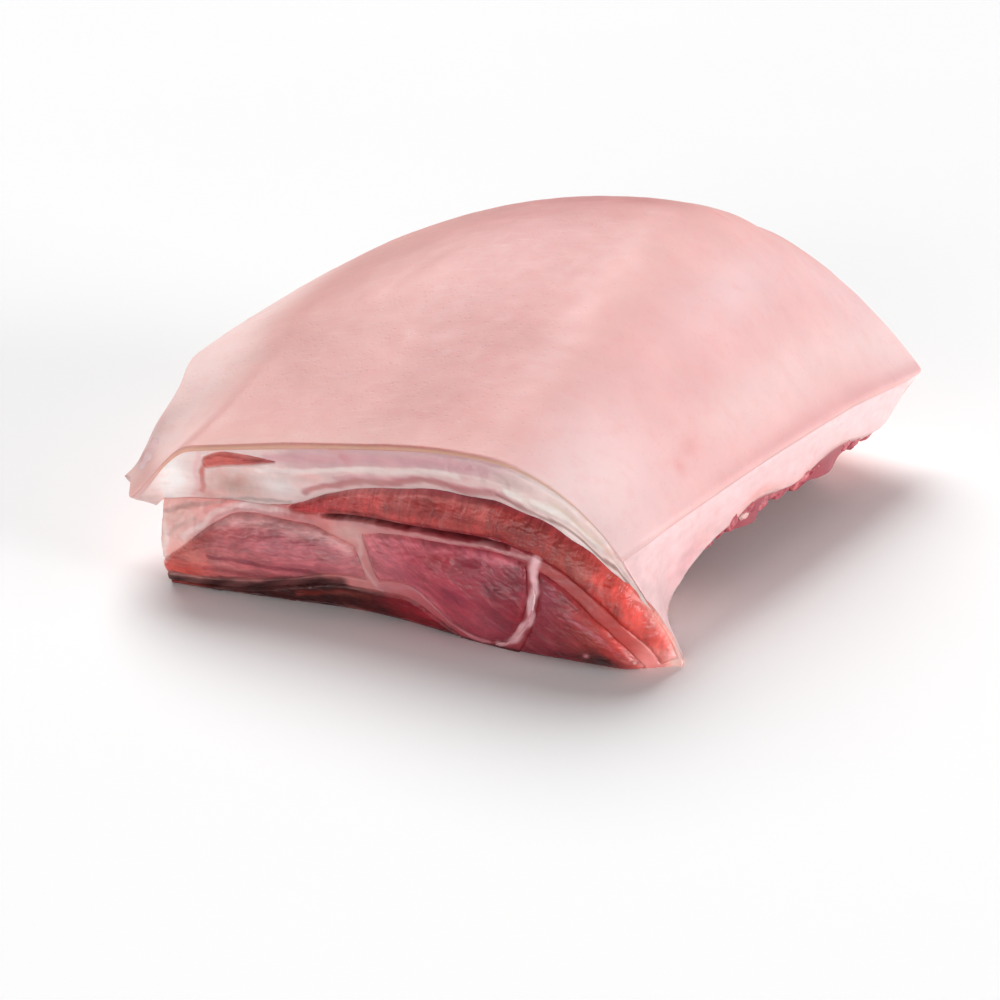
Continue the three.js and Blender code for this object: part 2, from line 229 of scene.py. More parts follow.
def fat_underside(share, along):
    x = mix(lean_left(along), fat_right(along), share)
    over = np.clip(rind_share(x, along), 0, 1)
    thick = CAP + CAP_EXTRA * bell(share, 0.26, 0.13)
    inside = np.maximum(rind_height(over, along) - thick, skirt_height(along))
    behind = mix(inside, skirt_height(along), ease(0.7, 1, share) ** 1.5)
    front = height_on(FAT_EDGE, mix(LEAN_LEFT, FOOT, share))
    return mix(front, behind, ease(0, 0.22, along))


def cut_front(share):
    return -1.5 - 8 * ease(0.35, 0.75, share) * (1 - ease(0.9, 1, share))


def cut_back(share):
    return DEPTH - 3 + (BACK_BULGE - 4) * wave(share) ** 0.8 - 6 * (1 - share)


def lean_top(share, along):
    return np.stack([mix(lean_left(along), fat_right(along), share),
                     mix(cut_front(share) + 1, cut_back(share), along),
                     fat_underside(share, along)], -1)


def lean_bottom(share, along):
    inset = UNDERCUT + 30 * ease(0.76, 1, along)
    hang = 11 * np.clip(scrap_bumps(along), 0, 1) * ease(0.85, 1, share)
    arch = ARCH * ease(RESTS_TO, 0.42, along) * (1 - ease(0.74, RESTS_FROM, along))
    tuck = 2.5 * bell(share, 0.4, 0.2)
    right = mix(FOOT, rind_right(along) - inset, ease(0, 0.3, along))
    return np.stack([mix(lean_left(along) + 1, right, share) + hang,
                     mix(cut_front(share) + tuck, cut_back(share) - 4, along),
                     arch * mix(0.6, 1, share)], -1)


def between(p, q, t):
    return p + (q - p) * np.asarray(t)[..., None]


def lean_point(share, along, down):
    """A point of the lower block. Both its cut faces belly out between the fat and the table."""
    point = between(lean_top(share, along), lean_bottom(share, along), down)
    point[..., 1] -= 4 * wave(down) * (1 - 2 * along) * (1 - ease(0.85, 1, share))
    return point


def cap_underside(across, along):
    share = np.clip((across - OVERHANG) / (1 - OVERHANG), 0, 1)
    reach = np.clip(across / OVERHANG, 0, 1)
    flap = rind_point(across, along)
    flap[..., 0] += 8 * (1 - reach)
    flap[..., 1] += 1.5
    flap[..., 2] -= mix(FLAP_THICK, FLAP_THICK + 4, reach)
    under_flap = between(flap, lean_top(np.zeros_like(share), along), ease(-0.3, 1, reach))
    return np.where((across < OVERHANG)[..., None], under_flap, lean_top(share, along))


def cap_point(across, along, down):
    """A point of the upper block: the rind and its fat. The left edge, with the flap, is rounded."""
    point = between(rind_point(across, along), cap_underside(across, along), down)
    point[..., 0] -= 2.6 * wave(down) ** 0.7 * (1 - ease(0, 0.08, across))
    return point


def section_of_web(share, along, down):
    """Where a point of the lower block lies on the front cut: x and z."""
    x = LEAN_LEFT + share / (1 - DRAW_IN * ease(0, 0.3, along)) * (FOOT - LEAN_LEFT)
    return x, height_on(FAT_EDGE, x) * (1 - down)


def through_lean(x, z, along):
    height = height_on(FAT_EDGE, x)
    share = (x - LEAN_LEFT) / (FOOT - LEAN_LEFT) * (1 - DRAW_IN * ease(0, 0.3, along))
    return lean_point(share, along, (height - z) / height)


def section_of_cap(across, down):
    x = mix(rind_left(0.0), rind_right(0.0), across)
    top = rind_height(across, np.zeros_like(across))
    return x, mix(top, height_on(FAT_EDGE, x), down)


def through_fat(x, z, along):
    across = rind_share(x, 0.0)
    top = rind_height(across, np.zeros_like(across))
    return cap_point(across, along, (top - z) / (top - height_on(FAT_EDGE, x)))


def smooth_line(points, per_span=24):
    """Many points on a smooth line through the given ones, and each one's share of its length."""
    knots = np.array(points, float)
    last = len(knots) - 1
    t = np.linspace(0, last, last * per_span + 1)
    i = np.minimum(t.astype(int), last - 1)
    w = (t - i)[:, None]
    p0, p1, p2, p3 = (knots[np.clip(i + step, 0, last)] for step in (-1, 0, 1, 2))
    v0, v1 = (p2 - p0) / 2, (p3 - p1) / 2
    line = (2 * (p1 - p2) + v0 + v1) * w ** 3 + (3 * (p2 - p1) - 2 * v0 - v1) * w ** 2 + v0 * w + p1
    run = np.concatenate([[0], np.cumsum(np.linalg.norm(np.diff(line, axis=0), axis=1))])
    return line, run / run[-1]


def section_point(shape, s, t, roofed):
    """x and z on the front cut of a muscle's shares: s along its length, t from top to bottom."""
    ends = []
    for name in ("top", "bottom"):
        line, shares = smooth_line(shape[name])
        ends.append(np.stack([np.interp(s, shares, line[:, k]) for k in (0, 1)], -1))
    x, z = np.moveaxis(between(ends[0], ends[1], t), -1, 0)
    x = x + wave(t) * (shape["ends"][0] * (1 - s) ** 2 + shape["ends"][1] * s ** 2)
    return x, np.minimum(z, height_on(FAT_EDGE, x)) if roofed else z


def outline_of(shape, roofed=False, *, steps):
    """A muscle's outline on the front cut as a closed loop of [x, z] points."""
    s, zero, one = np.linspace(0, 1, steps), np.zeros(steps), np.ones(steps)
    sides = [(s, zero), (one, s), (s[::-1], one), (zero, s[::-1])]
    return np.concatenate([np.stack(section_point(shape, a, b, roofed), -1)[:-1] for a, b in sides])


def distance_to_line(x, z, line, closed=False):
    """Each point's distance to a line of [x, z] points."""
    starts = np.asarray(line, float)
    ends = np.roll(starts, -1, 0) if closed else starts[1:]
    nearest = np.full(np.shape(x), 1e9)
    for (ax, az), (bx, bz) in zip(starts, ends):
        dx, dz = bx - ax, bz - az
        t = np.clip(((x - ax) * dx + (z - az) * dz) / max(dx * dx + dz * dz, 1e-9), 0, 1)
        nearest = np.minimum(nearest, np.hypot(x - ax - t * dx, z - az - t * dz))
    return nearest


def depth_inside(x, z, loop):
    """How far inside a closed loop each point lies: positive inside, negative outside."""
    inside = np.zeros(np.shape(x), bool)
    for (ax, az), (bx, bz) in zip(loop, np.roll(loop, -1, 0)):
        if az != bz:
            inside ^= ((az > z) != (bz > z)) & (x < (bx - ax) * (z - az) / (bz - az) + ax)
    return np.where(inside, 1, -1) * distance_to_line(x, z, loop, closed=True)


def to_frame(points):
    return (points - BASE_MIDDLE) * MM


# ---------------------------------------------------------------------------
# Colours
# ---------------------------------------------------------------------------

def linear(hex_colour):
    """An sRGB hex colour as linear red, green and blue."""
    channels = np.array([int(hex_colour[i:i + 2], 16) for i in (1, 3, 5)]) / 255
    return np.where(channels <= 0.04045, channels / 12.92, ((channels + 0.055) / 1.055) ** 2.4)


def tones_at(x, tones):
    """The colour at x of a row of (place, hex colour) stops."""
    places = [place for place, _ in tones]
    colours = np.array([linear(colour) for _, colour in tones])
    return np.stack([np.interp(x, places, colours[:, k]) for k in range(3)], -1)


def dab(paint, weight, hex_colour):
    """Lays a colour over the paint, as thickly as its weight says."""
    return between(paint, linear(hex_colour), np.clip(weight, 0, 1))


def dabs(paint, *layers):
    """Lays several colours over the paint, one after the other: (weight, hex colour) each."""
    for weight, hex_colour in layers:
        paint = dab(paint, weight, hex_colour)
    return paint


def spot(x, z, place, size, turn=0.0):
    """1 in the middle of a soft oval spot, 0 outside it."""
    dx, dz = x - place[0], z - place[1]
    c, s = np.cos(turn), np.sin(turn)
    return np.exp(-(((c * dx + s * dz) / size[0]) ** 2 + ((c * dz - s * dx) / size[1]) ** 2))


def streak(x, z, line, width):
    """1 on a line, 0 a width away from it."""
    return 1 - ease(0.2 * width, width, distance_to_line(x, z, smooth_line(line, 6)[0]))


# Marks on the front cut, which run through the slab: kind, place, size, colour, strength.
LEAN_MARKS = {
    "upper_lean": [
        ("spot", [54, 36], [7, 4.5], "#b21e23", 0.85),
        # Painted shade: a dark streak along the slit under this muscle, ending in a darker pocket.
        ("streak", [[64, 36.4], [76, 36.9], [90, 37.2], [104, 38.4], [120, 39.6]], 1.8, "#710f11", 0.75),
        ("spot", [124, 39.8], [4.2, 2.4], "#75090e", 0.9),
        # Painted highlight: a lighter streak along the muscle's wet top edge.
        ("streak", [[66, 42.6], [86, 46.6], [104, 48.8], [120, 49]], 2.0, "#d97c79", 0.6),
        ("streak", [[84, 41], [100, 43], [116, 44.6], [130, 43]], 2.2, "#8e2624", 0.55),
        ("spot", [88, 45], [3.6, 2.6], "#d5706c", 0.6),
        ("spot", [97, 45.6], [2.4, 1.8], "#862222", 0.55),
        ("spot", [108, 49], [4.6, 1.8], "#db736e", 0.6),
        ("spot", [118, 46.5], [3.4, 1.8], "#ce665f", 0.45),
        ("spot", [74, 40.5], [7, 2.4], "#9f2727", 0.5),
        ("spot", [133, 44.5], [5, 3], "#943d39", 0.6),
        ("spot", [140, 31], [4, 3], "#871f27", 0.6),
        ("spot", [146, 36], [6, 3.4], "#ad4b40", 0.6),
        ("spot", [151.5, 32.6], [3.4, 2.4], "#d4766c", 0.7),
        ("spot", [153, 28], [4, 2.2], "#952324", 0.6),
        ("streak", [[157, 31], [165, 25], [171, 17], [176, 8]], 3.4, "#e1483e", 0.75),
        ("streak", [[155, 27], [162, 21], [168, 14], [172, 9]], 2.0, "#c42f2b", 0.7),
        ("streak", [[166, 30], [173, 21], [178, 9]], 1.4, "#fd8377", 0.6),
        ("spot", [174, 4], [4, 4], "#f58f86", 0.7),
        ("spot", [179.6, 3], [2.6, 3], "#ffb2af", 0.9),
    ],
    "left_lean": [
        ("spot", [8, 8], [8, 3.4], "#dc4e40", 0.9),
        ("streak", [[20, 15.6], [32, 15.2], [44, 14.4], [57, 13.4], [67, 12.6]], 1.5, "#7d2839", 0.75),
        ("streak", [[18, 10.4], [32, 9.4], [46, 10.6]], 1.6, "#8c2f39", 0.5),
        ("streak", [[22, 26.4], [34, 29.4], [48, 28.6], [60, 28.4], [70, 25]], 3.4, "#e2a3a3", 0.85),
        ("spot", [44, 22], [12, 3], "#be6975", 0.5),
        ("spot", [30, 20.5], [8, 2], "#a64954", 0.5),
        ("spot", [66, 20], [6, 4], "#c7737b", 0.55),
        ("streak", [[2, 5.2], [17, 5.6], [32, 7.3], [48, 10.7]], 1.1, "#561417", 0.75),
        ("spot", [13, 14], [5, 2.2], "#e58b7f", 0.55),
    ],
    "middle_lean": [
        ("spot", [102.8, 29.6], [5.6, 2.8], "#a90f22", 0.9),
        ("spot", [108, 31.8], [2.6, 1.4], "#9e1125", 0.7),
        ("spot", [129, 27], [3.4, 2.6], "#790d20", 0.8),
        ("spot", [122, 23.4], [4.4, 2.8], "#7d1631", 0.65),
        ("spot", [131, 15.4], [2.8, 4.6], "#891125", 0.65),
        ("spot", [109, 17.4], [5, 2.6], "#8b1f42", 0.6),
        ("streak", [[82, 30.8], [96, 31.4], [112, 32.8], [130, 33.2]], 2.4, "#e47a88", 0.6),
        ("spot", [86.5, 21], [4.6, 6], "#d67080", 0.65),
        ("spot", [93, 18.6], [4, 3], "#cd5a73", 0.35),
        ("streak", [[88, 17.4], [96, 15.4], [102, 11.4], [107, 6.6]], 1.4, "#e07384", 0.55),
        ("spot", [119, 10], [6, 5], "#b85563", 0.65),
        ("spot", [97, 25.6], [5, 3.6], "#9c3042", 0.5),
    ],
    "right_lean": [
        ("streak", [[147, 18.6], [154, 15], [159, 11.7], [165, 6.9]], 1.0, "#c96d79", 0.65),
        # Partly dark meat, partly painted shade: near black spots at the foot of the cut.
        ("spot", [152, 2.4], [16, 2.4], "#4a0411", 0.9),
        ("spot", [158, 4], [7, 3.4], "#34030a", 0.95),
        ("spot", [141, 24], [3, 5], "#7e2038", 0.55),
        ("spot", [153.7, 4.4], [0.7, 0.9], "#f09ba4", 0.9),
        ("spot", [163, 9], [5, 3], "#b83431", 0.6),
    ],
    "under_lean": [
        ("spot", [94, 8], [8.4, 3], "#a4172c", 0.9),
        ("spot", [100.6, 4.4], [3.6, 3.4], "#8f1025", 0.8),
        ("spot", [6, 1], [7, 2], "#bc2e28", 0.8),
        ("streak", [[50, 4.6], [62, 6.8], [76, 7.4]], 1.5, "#7d281d", 0.7),
        # Partly dark meat, partly painted shade: this near black spot and the one at 80 mm lie low on the
        # cut, where it turns under.
        ("spot", [30, 2], [12, 1.2], "#3e0607", 0.7),
        ("spot", [70, 1.4], [4, 1], "#913431", 0.6),
        ("spot", [80, 3], [4, 2.4], "#350307", 0.8),
    ],
    "skin_lean": [
        ("streak", [[18, 48.6], [26, 50.6], [36, 50.4]], 0.9, "#dc8878", 0.6),
        ("spot", [38, 49], [4, 1.2], "#8c2c28", 0.6),
    ],
}

# The seams are stained by the muscles beside them: their colour on the cut faces, from left to right.
WEB_TONES = [(2, "#ffb4ac"), (20, "#f4a39f"), (45, "#db8484"), (62, "#d57f7e"), (76, "#db8a88"),
             (92, "#c96a70"), (112, "#b34c58"), (134, "#9e3640"), (150, "#ac393a"), (166, "#d65046"),
             (178, "#ffb0a4")]

WEB_MARKS = [
    ("spot", [8, 24], [9, 8], "#ecc2ba", 0.85),
    ("spot", [15, 22], [5, 4], "#d49c9c", 0.6),
    ("spot", [3, 17], [1.6, 9], "#f8e6e2", 0.8),
    ("streak", [[10, 19.6], [16, 24.4], [22, 29.4], [30, 32.6], [42, 33.4], [52, 32.6]], 1.6,
     "#efcfcc", 0.75),
    ("streak", [[15, 20.4], [22, 26.8], [30, 31.2], [44, 31.8], [56, 31.4]], 1.2, "#c98e92", 0.7),
    ("spot", [70, 30], [8, 3.4], "#e3aea8", 0.85),
    ("streak", [[73, 29.4], [73.4, 25], [74.4, 20], [77, 14], [80, 11]], 1.3, "#e2b0b0", 0.75),
    ("spot", [80, 22], [3, 9], "#c48690", 0.7),
    ("streak", [[64, 33.8], [74, 33.4], [85, 33.2], [97, 34.2], [110, 35.4], [122, 36], [134, 35.2]], 1.0,
     "#cf8f90", 0.85),
    ("streak", [[79, 12], [85, 13.6], [91, 14.6], [97, 13], [102, 9.6], [106, 5.8], [112, 2.4], [120, 1]],
     1.3, "#cf8089", 0.85),
    # Partly dark meat, partly painted shade: a near black band low on the cut, along the under layer's top.
    ("streak", [[2, 2.4], [17, 2.8], [32, 4.5], [48, 7.9], [58, 10.2], [66, 10.8]], 4.4, "#3a090b", 1.0),
    ("streak", [[138, 33.6], [144, 30.4], [150, 26.2], [155, 22.2], [160, 17.9], [166, 11.8], [171, 5.6],
                [174, 1]], 4.4, "#ae403f", 0.7),
    ("streak", [[136.4, 35], [136.7, 30], [136.2, 24], [135.4, 17], [133.2, 10.8], [129, 5.4], [124, 1.6]],
     2.1, "#f6c0c6", 1.0),
    ("spot", [51, 33.2], [5, 2.4], "#c4504e", 0.85),
    # Painted shade: a dark streak along the slit.
    ("streak", [[62, 34.8], [78, 35.6], [90, 36], [104, 37], [120, 38]], 1.9, "#8a2c30", 0.85),
    ("streak", [[3, 27], [10, 30], [17, 31.6], [24, 33.4]], 1.2, "#b98f88", 0.6),
    ("streak", [[4, 20], [8, 23], [13, 27]], 1.0, "#cba39d", 0.5),
    ("spot", [173, 2.6], [5, 3.4], "#f59b98", 0.85),
    ("spot", [180.4, 3], [2, 5], "#f7d8d2", 0.8),
    # Painted shade: dark lines along the foot of the cut, where it meets the table, here and in the next
    # streak.
    ("streak", [[2, 0], [60, 0], [112, 0]], 1.3, "#3c0c0e", 0.95),
    ("streak", [[112, 0], [140, 0], [168, 0]], 1.3, "#4a0a14", 0.95),
]

CAP_MARKS = [
    ("spot", [6, 40], [7, 10], "#fdf7f5", 0.95),
    ("streak", [[15, 50], [14.8, 42], [13.8, 34]], 1.3, "#f0b9ba", 0.7),
    ("streak", [[17.4, 46], [16.8, 40], [15.6, 36]], 1.5, "#cf5f55", 0.85),
    ("spot", [18, 35], [4.4, 3], "#d9938c", 0.75),
    ("spot", [28, 39.5], [8, 4.6], "#bd998f", 0.9),
    ("spot", [42, 41], [8, 3.4], "#efe6e4", 0.75),
    ("streak", [[19, 33.4], [33, 35.2], [44, 36.2]], 0.9, "#ab9490", 0.7),
    ("streak", [[36, 46], [52, 47.4], [66, 49.9], [88, 54], [102, 56.2]], 1.5, "#f6e4e0", 0.7),
    ("streak", [[38, 50.4], [56, 52.4], [76, 55.6], [100, 59.2], [116, 59]], 2.6, "#dba3aa", 0.85),
    ("streak", [[60, 45.4], [76, 49.4], [92, 51.8], [112, 54]], 1.3, "#dba0a6", 0.8),
    ("streak", [[50, 39.4], [62, 43.8], [80, 49], [98, 52], [118, 52.8]], 1.9, "#bd7072", 0.85),
    ("spot", [120, 57], [9, 3], "#d6bab4", 0.6),
    # Painted highlight: a white streak of wet shine on the cut fat.
    ("streak", [[116, 54.6], [129, 54.4], [138, 52.4], [147, 46.8]], 2.0, "#f3e6e0", 0.9),
    ("streak", [[126, 52], [136, 49.4], [146, 44], [152, 39]], 1.0, "#c9a294", 0.7),
    ("streak", [[134, 55], [143, 50.4], [150, 44.6]], 1.0, "#e9c9a6", 0.55),
    ("streak", [[112, 52.4], [128, 51.4], [140, 47.4], [150, 41.6]], 0.8, "#8a5a56", 0.7),
    ("streak", [[116, 58.6], [132, 56.4], [144, 50.6], [152, 44]], 2.2, "#d4b2ab", 0.5),
    ("streak", [[122, 54], [136, 51.2], [147, 45.6], [154, 39.6]], 1.0, "#b08880", 0.35),
    # Painted highlight: a cream spot of wet shine on the cut fat.
    ("spot", [157, 37.4], [4, 2.6], "#f8e2d2", 0.85),
]


def with_marks(paint, x, z, marks):
    """Lays marks over the paint. Their outlines wander a little and their strength varies, as in meat."""
    uneven = 0.93 + 0.07 * np.sin(0.45 * x - 0.6 * z + 1)
    x, z = (x + 0.7 * np.sin(0.55 * z + 0.21 * x) + 0.12 * np.sin(1.7 * z - 0.9 * x),
            z + 0.35 * np.sin(0.29 * x - 0.3 * z) + 0.15 * np.sin(0.71 * x + 1.1 * z)
            + 0.05 * np.sin(1.9 * x))
    for kind, place, size, colour, strength in marks:
        weight = spot(x, z, place, size) if kind == "spot" else streak(x, z, place, size)
        paint = dab(paint, strength * uneven * weight, colour)
    return paint


# ---------------------------------------------------------------------------
# Meshes
# ---------------------------------------------------------------------------

def stations(length, cell, rim=0.0, rim_cell=None):
    """Shares along a length in steps of about one cell, with finer steps near both ends."""
    middle = np.linspace(rim, length - rim, max(2, round((length - 2 * rim) / cell)) + 1)
    if not rim:
        return middle / length
    edge = np.linspace(0, rim, max(2, round(rim / rim_cell)), endpoint=False)
    return np.concatenate([edge, middle, length - edge[::-1]]) / length


class Surface:
    """Patches of points that become one closed mesh, with a tint and a relief value on each point."""

    def __init__(self):
        self.points, self.tints, self.reliefs, self.grains, self.faces = [], [], [], [], []
        self.count = 0

    def add(self, made, faces):
        """made: the points, their tints, their relief shares and their grain coordinates."""
        for store, values in zip((self.points, self.tints, self.reliefs, self.grains), made):
            store.append(np.reshape(values, (-1,) + np.shape(values)[2:]))
        self.faces.extend((np.asarray(faces) + self.count).tolist())
        self.count += made[0].size // 3

    def grid(self, at, rows, columns):
        r, c = np.meshgrid(rows, columns, indexing="ij")
        corner = (np.arange(len(rows) - 1)[:, None] * len(columns) + np.arange(len(columns) - 1)).ravel()
        wide = len(columns)
        self.add(at(r, c), np.stack([corner, corner + wide, corner + wide + 1, corner + 1], -1))

    def sheet(self, at, rim, size, cell, down):
        """A coarse sheet whose rim runs through the given (row, column) shares, to meet the sides."""
        inner = [stations(length, cell)[1:-1] for length in size]
        r, c = np.meshgrid(*inner, indexing="ij")
        shares = np.concatenate([rim, np.stack([r.ravel(), c.ravel()], -1)])
        scaled = [Vector(point) for point in (shares * np.array(size)).tolist()]
        loop = [(i, (i + 1) % len(rim)) for i in range(len(rim))]
        flat, _, triangles, *_ = delaunay_2d_cdt(scaled, loop, [], 1, 1e-6)
        found = np.array([[point.x, point.y] for point in flat]) / np.array(size)
        faces = np.array(triangles)
        self.add(at(found[:, :1], found[:, 1:]), faces[:, ::-1] if down else faces)

    def mesh(self, name):
        data = bpy.data.meshes.new(name)
        data.from_pydata(to_frame(np.concatenate(self.points)), [], self.faces)
        tint = data.color_attributes.new("tint", "FLOAT_COLOR", "POINT")
        colours = np.concatenate(self.tints)
        tint.data.foreach_set("color", np.hstack([colours, np.ones((len(colours), 1))]).ravel())
        relief = data.attributes.new("relief", "FLOAT", "POINT")
        relief.data.foreach_set("value", np.concatenate(self.reliefs).ravel())
        grain = data.attributes.new("grain", "FLOAT_VECTOR", "POINT")
        grain.data.foreach_set("vector", (np.concatenate(self.grains) * MM).ravel())
        piece = bpy.data.objects.new(name, data)
        bpy.context.scene.collection.objects.link(piece)
        return piece


def closed_block(at, across, along, down, back_across=None, sheets=(True, True), cell=4.0, size=(180, 200)):
    """A block's six faces. at(share across, share along, share down) gives a point and its paint.
    A sheet is a hidden top or bottom, which is made coarse."""
    surface = Surface()
    back = across if back_across is None else back_across
    left, right = along
    for level, coarse in zip((0, 1), sheets):
        def face(r, c, level=level):
            return at(r, c, np.full(np.broadcast(r, c).shape, down[0] if level == 0 else down[-1]))
        if coarse:
            rim = np.concatenate([
                np.stack([across, np.zeros_like(across)], -1)[:-1],
                np.stack([np.ones_like(right), right], -1)[:-1],
                np.stack([back, np.ones_like(back)], -1)[::-1][:-1],
                np.stack([np.zeros_like(left), left], -1)[::-1][:-1]])
            surface.sheet(face, rim, size, cell, down=level == 1)
        elif level == 0:
            surface.grid(face, across, left)
        else:
            surface.grid(lambda v, s: face(s, v), left, across)
    full = lambda value, like: np.full(np.shape(like), float(value))
    surface.grid(lambda v, t: at(full(0, v), v, t), left, down)
    surface.grid(lambda t, v: at(full(1, v), v, t), down, right)
    surface.grid(lambda t, s: at(s, full(0, s), t), down, across)
    surface.grid(lambda s, t: at(s, full(1, s), t), back, down)
    return surface


# ---------------------------------------------------------------------------
# What each face of the slab looks like: points, tints, relief shares and grain coordinates
# ---------------------------------------------------------------------------

RIM = 1.0                                          # radius of the rind's rounded rims
RIND_ACROSS, FAT_ACROSS, LEAN_ACROSS = 210, 200, 190   # rough widths along the surface
FAT_TALL, WEB_TALL = 22, 48                        # rough heights of the two cut faces
BED = 1.3                                          # how far a bed is sunk under the muscle in it
LAP, LAP_INSET = 0.4, 0.25                         # how far the fat reaches into the rind, and stands in
SHEET_DEEP = 200                                   # rough depth of a hidden sheet
PAINT_WIDE = 180                                   # width over which the rind's marks are placed
RIM_DIP, RIM_RISE = 0.8, 0.9                       # how deep a muscle's rim lies, and its rise inside
SCRAPS_AT = 0.985                                  # share across the lean where the scraps hang


def rim_drop(across, along):
    """How far the rind's surface rounds down towards its edges."""
    drop = 0
    for edge in (along * DEPTH, (1 - along) * DEPTH, across * RIND_ACROSS, (1 - across) * RIND_ACROSS):
        drop = np.maximum(drop, RIM * (1 - np.sqrt(1 - np.clip(1 - edge / RIM, 0, 1) ** 2)))
    return drop


def cap_thickness(across, along):
    return np.linalg.norm(rind_point(across, along) - cap_underside(across, along), axis=-1)


def rind_paint(across, along, depth, thick):
    """Pale pink skin: rosier over the left, paler to the right, tan where the knife went through. Some of it
    is painted light: the shaded left slope, the flap and a band just right of the crown are painted lighter,
    the brightly lit crown deeper pink, the right side lighter partly by its own tone and partly as painted
    light, and a darker line at the right edge is partly painted shade.
    """
    paint = np.broadcast_to(np.array(bpy.context.scene.slab_colours.rind), across.shape + (3,)).copy()
    x, y = PAINT_WIDE * across, DEPTH * along
    paint = dabs(
        paint,
        # Painted light: the left slope is painted lighter, to lift the shade on it.
        (0.6 * ease(0.5, 0.1, across) * ease(0.25, 0.6, along), "#e2a69f"),
        (0.4 * bell(across, 0.27, 0.1) * bell(along, 0.3, 0.3), "#dc9890"),
        # Painted shade: the crown, where the light is strongest, is painted deeper pink to tone it down.
        (0.9 * bell(across, 0.52, 0.17), "#cf8380"),
        # Partly the skin's own paler tone, partly painted light: the right slope is painted lighter, to lift
        # the shade on it.
        (0.9 * ease(0.6, 0.86, across), "#f8c0bf"),
        (0.9 * bell(across, 0.5, 0.2) * ease(0.5, 0.05, along), "#c67671"),
        # Partly the skin's own paler tone, partly a painted sheen: the back right, the near right corner and
        # a band on the right slope are painted lighter.
        (0.7 * ease(0.72, 1.0, along) * ease(0.75, 0.9, across), "#fbd3d3"),
        (0.8 * bell(across, 0.9, 0.14) * bell(along, 0.06, 0.16), "#fddad9"),
        (0.5 * bell(across, 0.84, 0.05) * bell(along, 0.62, 0.2), "#fddcdd"),
        (0.6 * bell(across, 0.3, 0.35) * bell(along, 0.0, 0.07), "#dba296"),
        (0.6 * bell(across, 0.13, 0.07) * bell(along, 0.12, 0.16), "#f6c9c5"),
        # Painted light: the flap, which lies in shade, is painted lighter.
        (0.95 * ease(0.2, 0.06, across) * ease(0.85, 0.5, along) * ease(0.05, 0.14, along), "#ffd6d1"),
        (0.9 * ease(0.09, 0.02, across) * (1 - ease(0.06, 0.13, along)), "#d9aba5"),
        (0.5 * ease(0.05, 0.0, across) * ease(0.55, 0.7, along), "#d9a4a1"),
        (0.6 * bell(across, 0.72, 0.09) * bell(along, 0.0, 0.14), "#d88c84"),
        # Painted light: a band just right of the crown, where the shading turns darker, is painted lighter.
        (0.55 * bell(across, 0.75, 0.055) * bell(along, 0.55, 0.35), "#fcc9c4"),
        (0.5 * bell(across, 0.42, 0.16) * bell(along, 0.28, 0.26), "#eba9a3"))
    for place, size, turn in (((173, 44), (1.6, 2.4), 0.3), ((171, 53), (1.6, 5), 0.1),
                              ((132, 152), (2.6, 1.6), 0.2)):
        paint = dab(paint, 0.45 * spot(x, y, place, size, turn), "#e58987")
    for start, run in (((28, 128), 34), ((40, 136), 26), ((20, 116), 18)):
        line = [start, (start[0] + run / 2, start[1] + 1.6), (start[0] + run, start[1] + 1)]
        paint = dab(paint, 0.45 * streak(x, y, line, 1.3), "#d3968e")
    cut = ease(0.25 * RIM, 0.9 * RIM, depth) * (1 - ease(0.9 * thick, thick, depth))
    left, right = ease(0.16, 0.1, across), ease(0.97, 0.99, across)
    return dabs(
        paint,
        (0.5 * bell(across, 0.95, 0.035) * ease(0.2, 0.45, along), "#ffdedb"),
        # Partly the rind's darker edge, partly painted shade: a darker pink line where the rind turns down
        # into the side fat.
        (0.4 * ease(0.98, 0.997, across) * ease(0.08, 0.5, along), "#dc9b9d"),
        (0.9 * cut * (1 - left) * (1 - right), "#d9a68f"),
        (0.8 * cut * left, "#cfafae"),
        (0.7 * cut * right, "#eab4b0"))


def rind_at(across, along, down):
    """Points of the rind itself. down runs from its surface to its underside."""
    across, along, down = np.broadcast_arrays(across, along, down)
    thick = bpy.context.scene.slab_sizes.rind / MM
    depth = np.maximum(down * thick, rim_drop(across, along))
    point = cap_point(across, along, np.clip(depth / cap_thickness(across, along), 0, 1))
    paint = rind_paint(across, along, depth, thick)
    relief = 1 - ease(0.3 * RIM, RIM, depth)
    return point, paint, relief, point


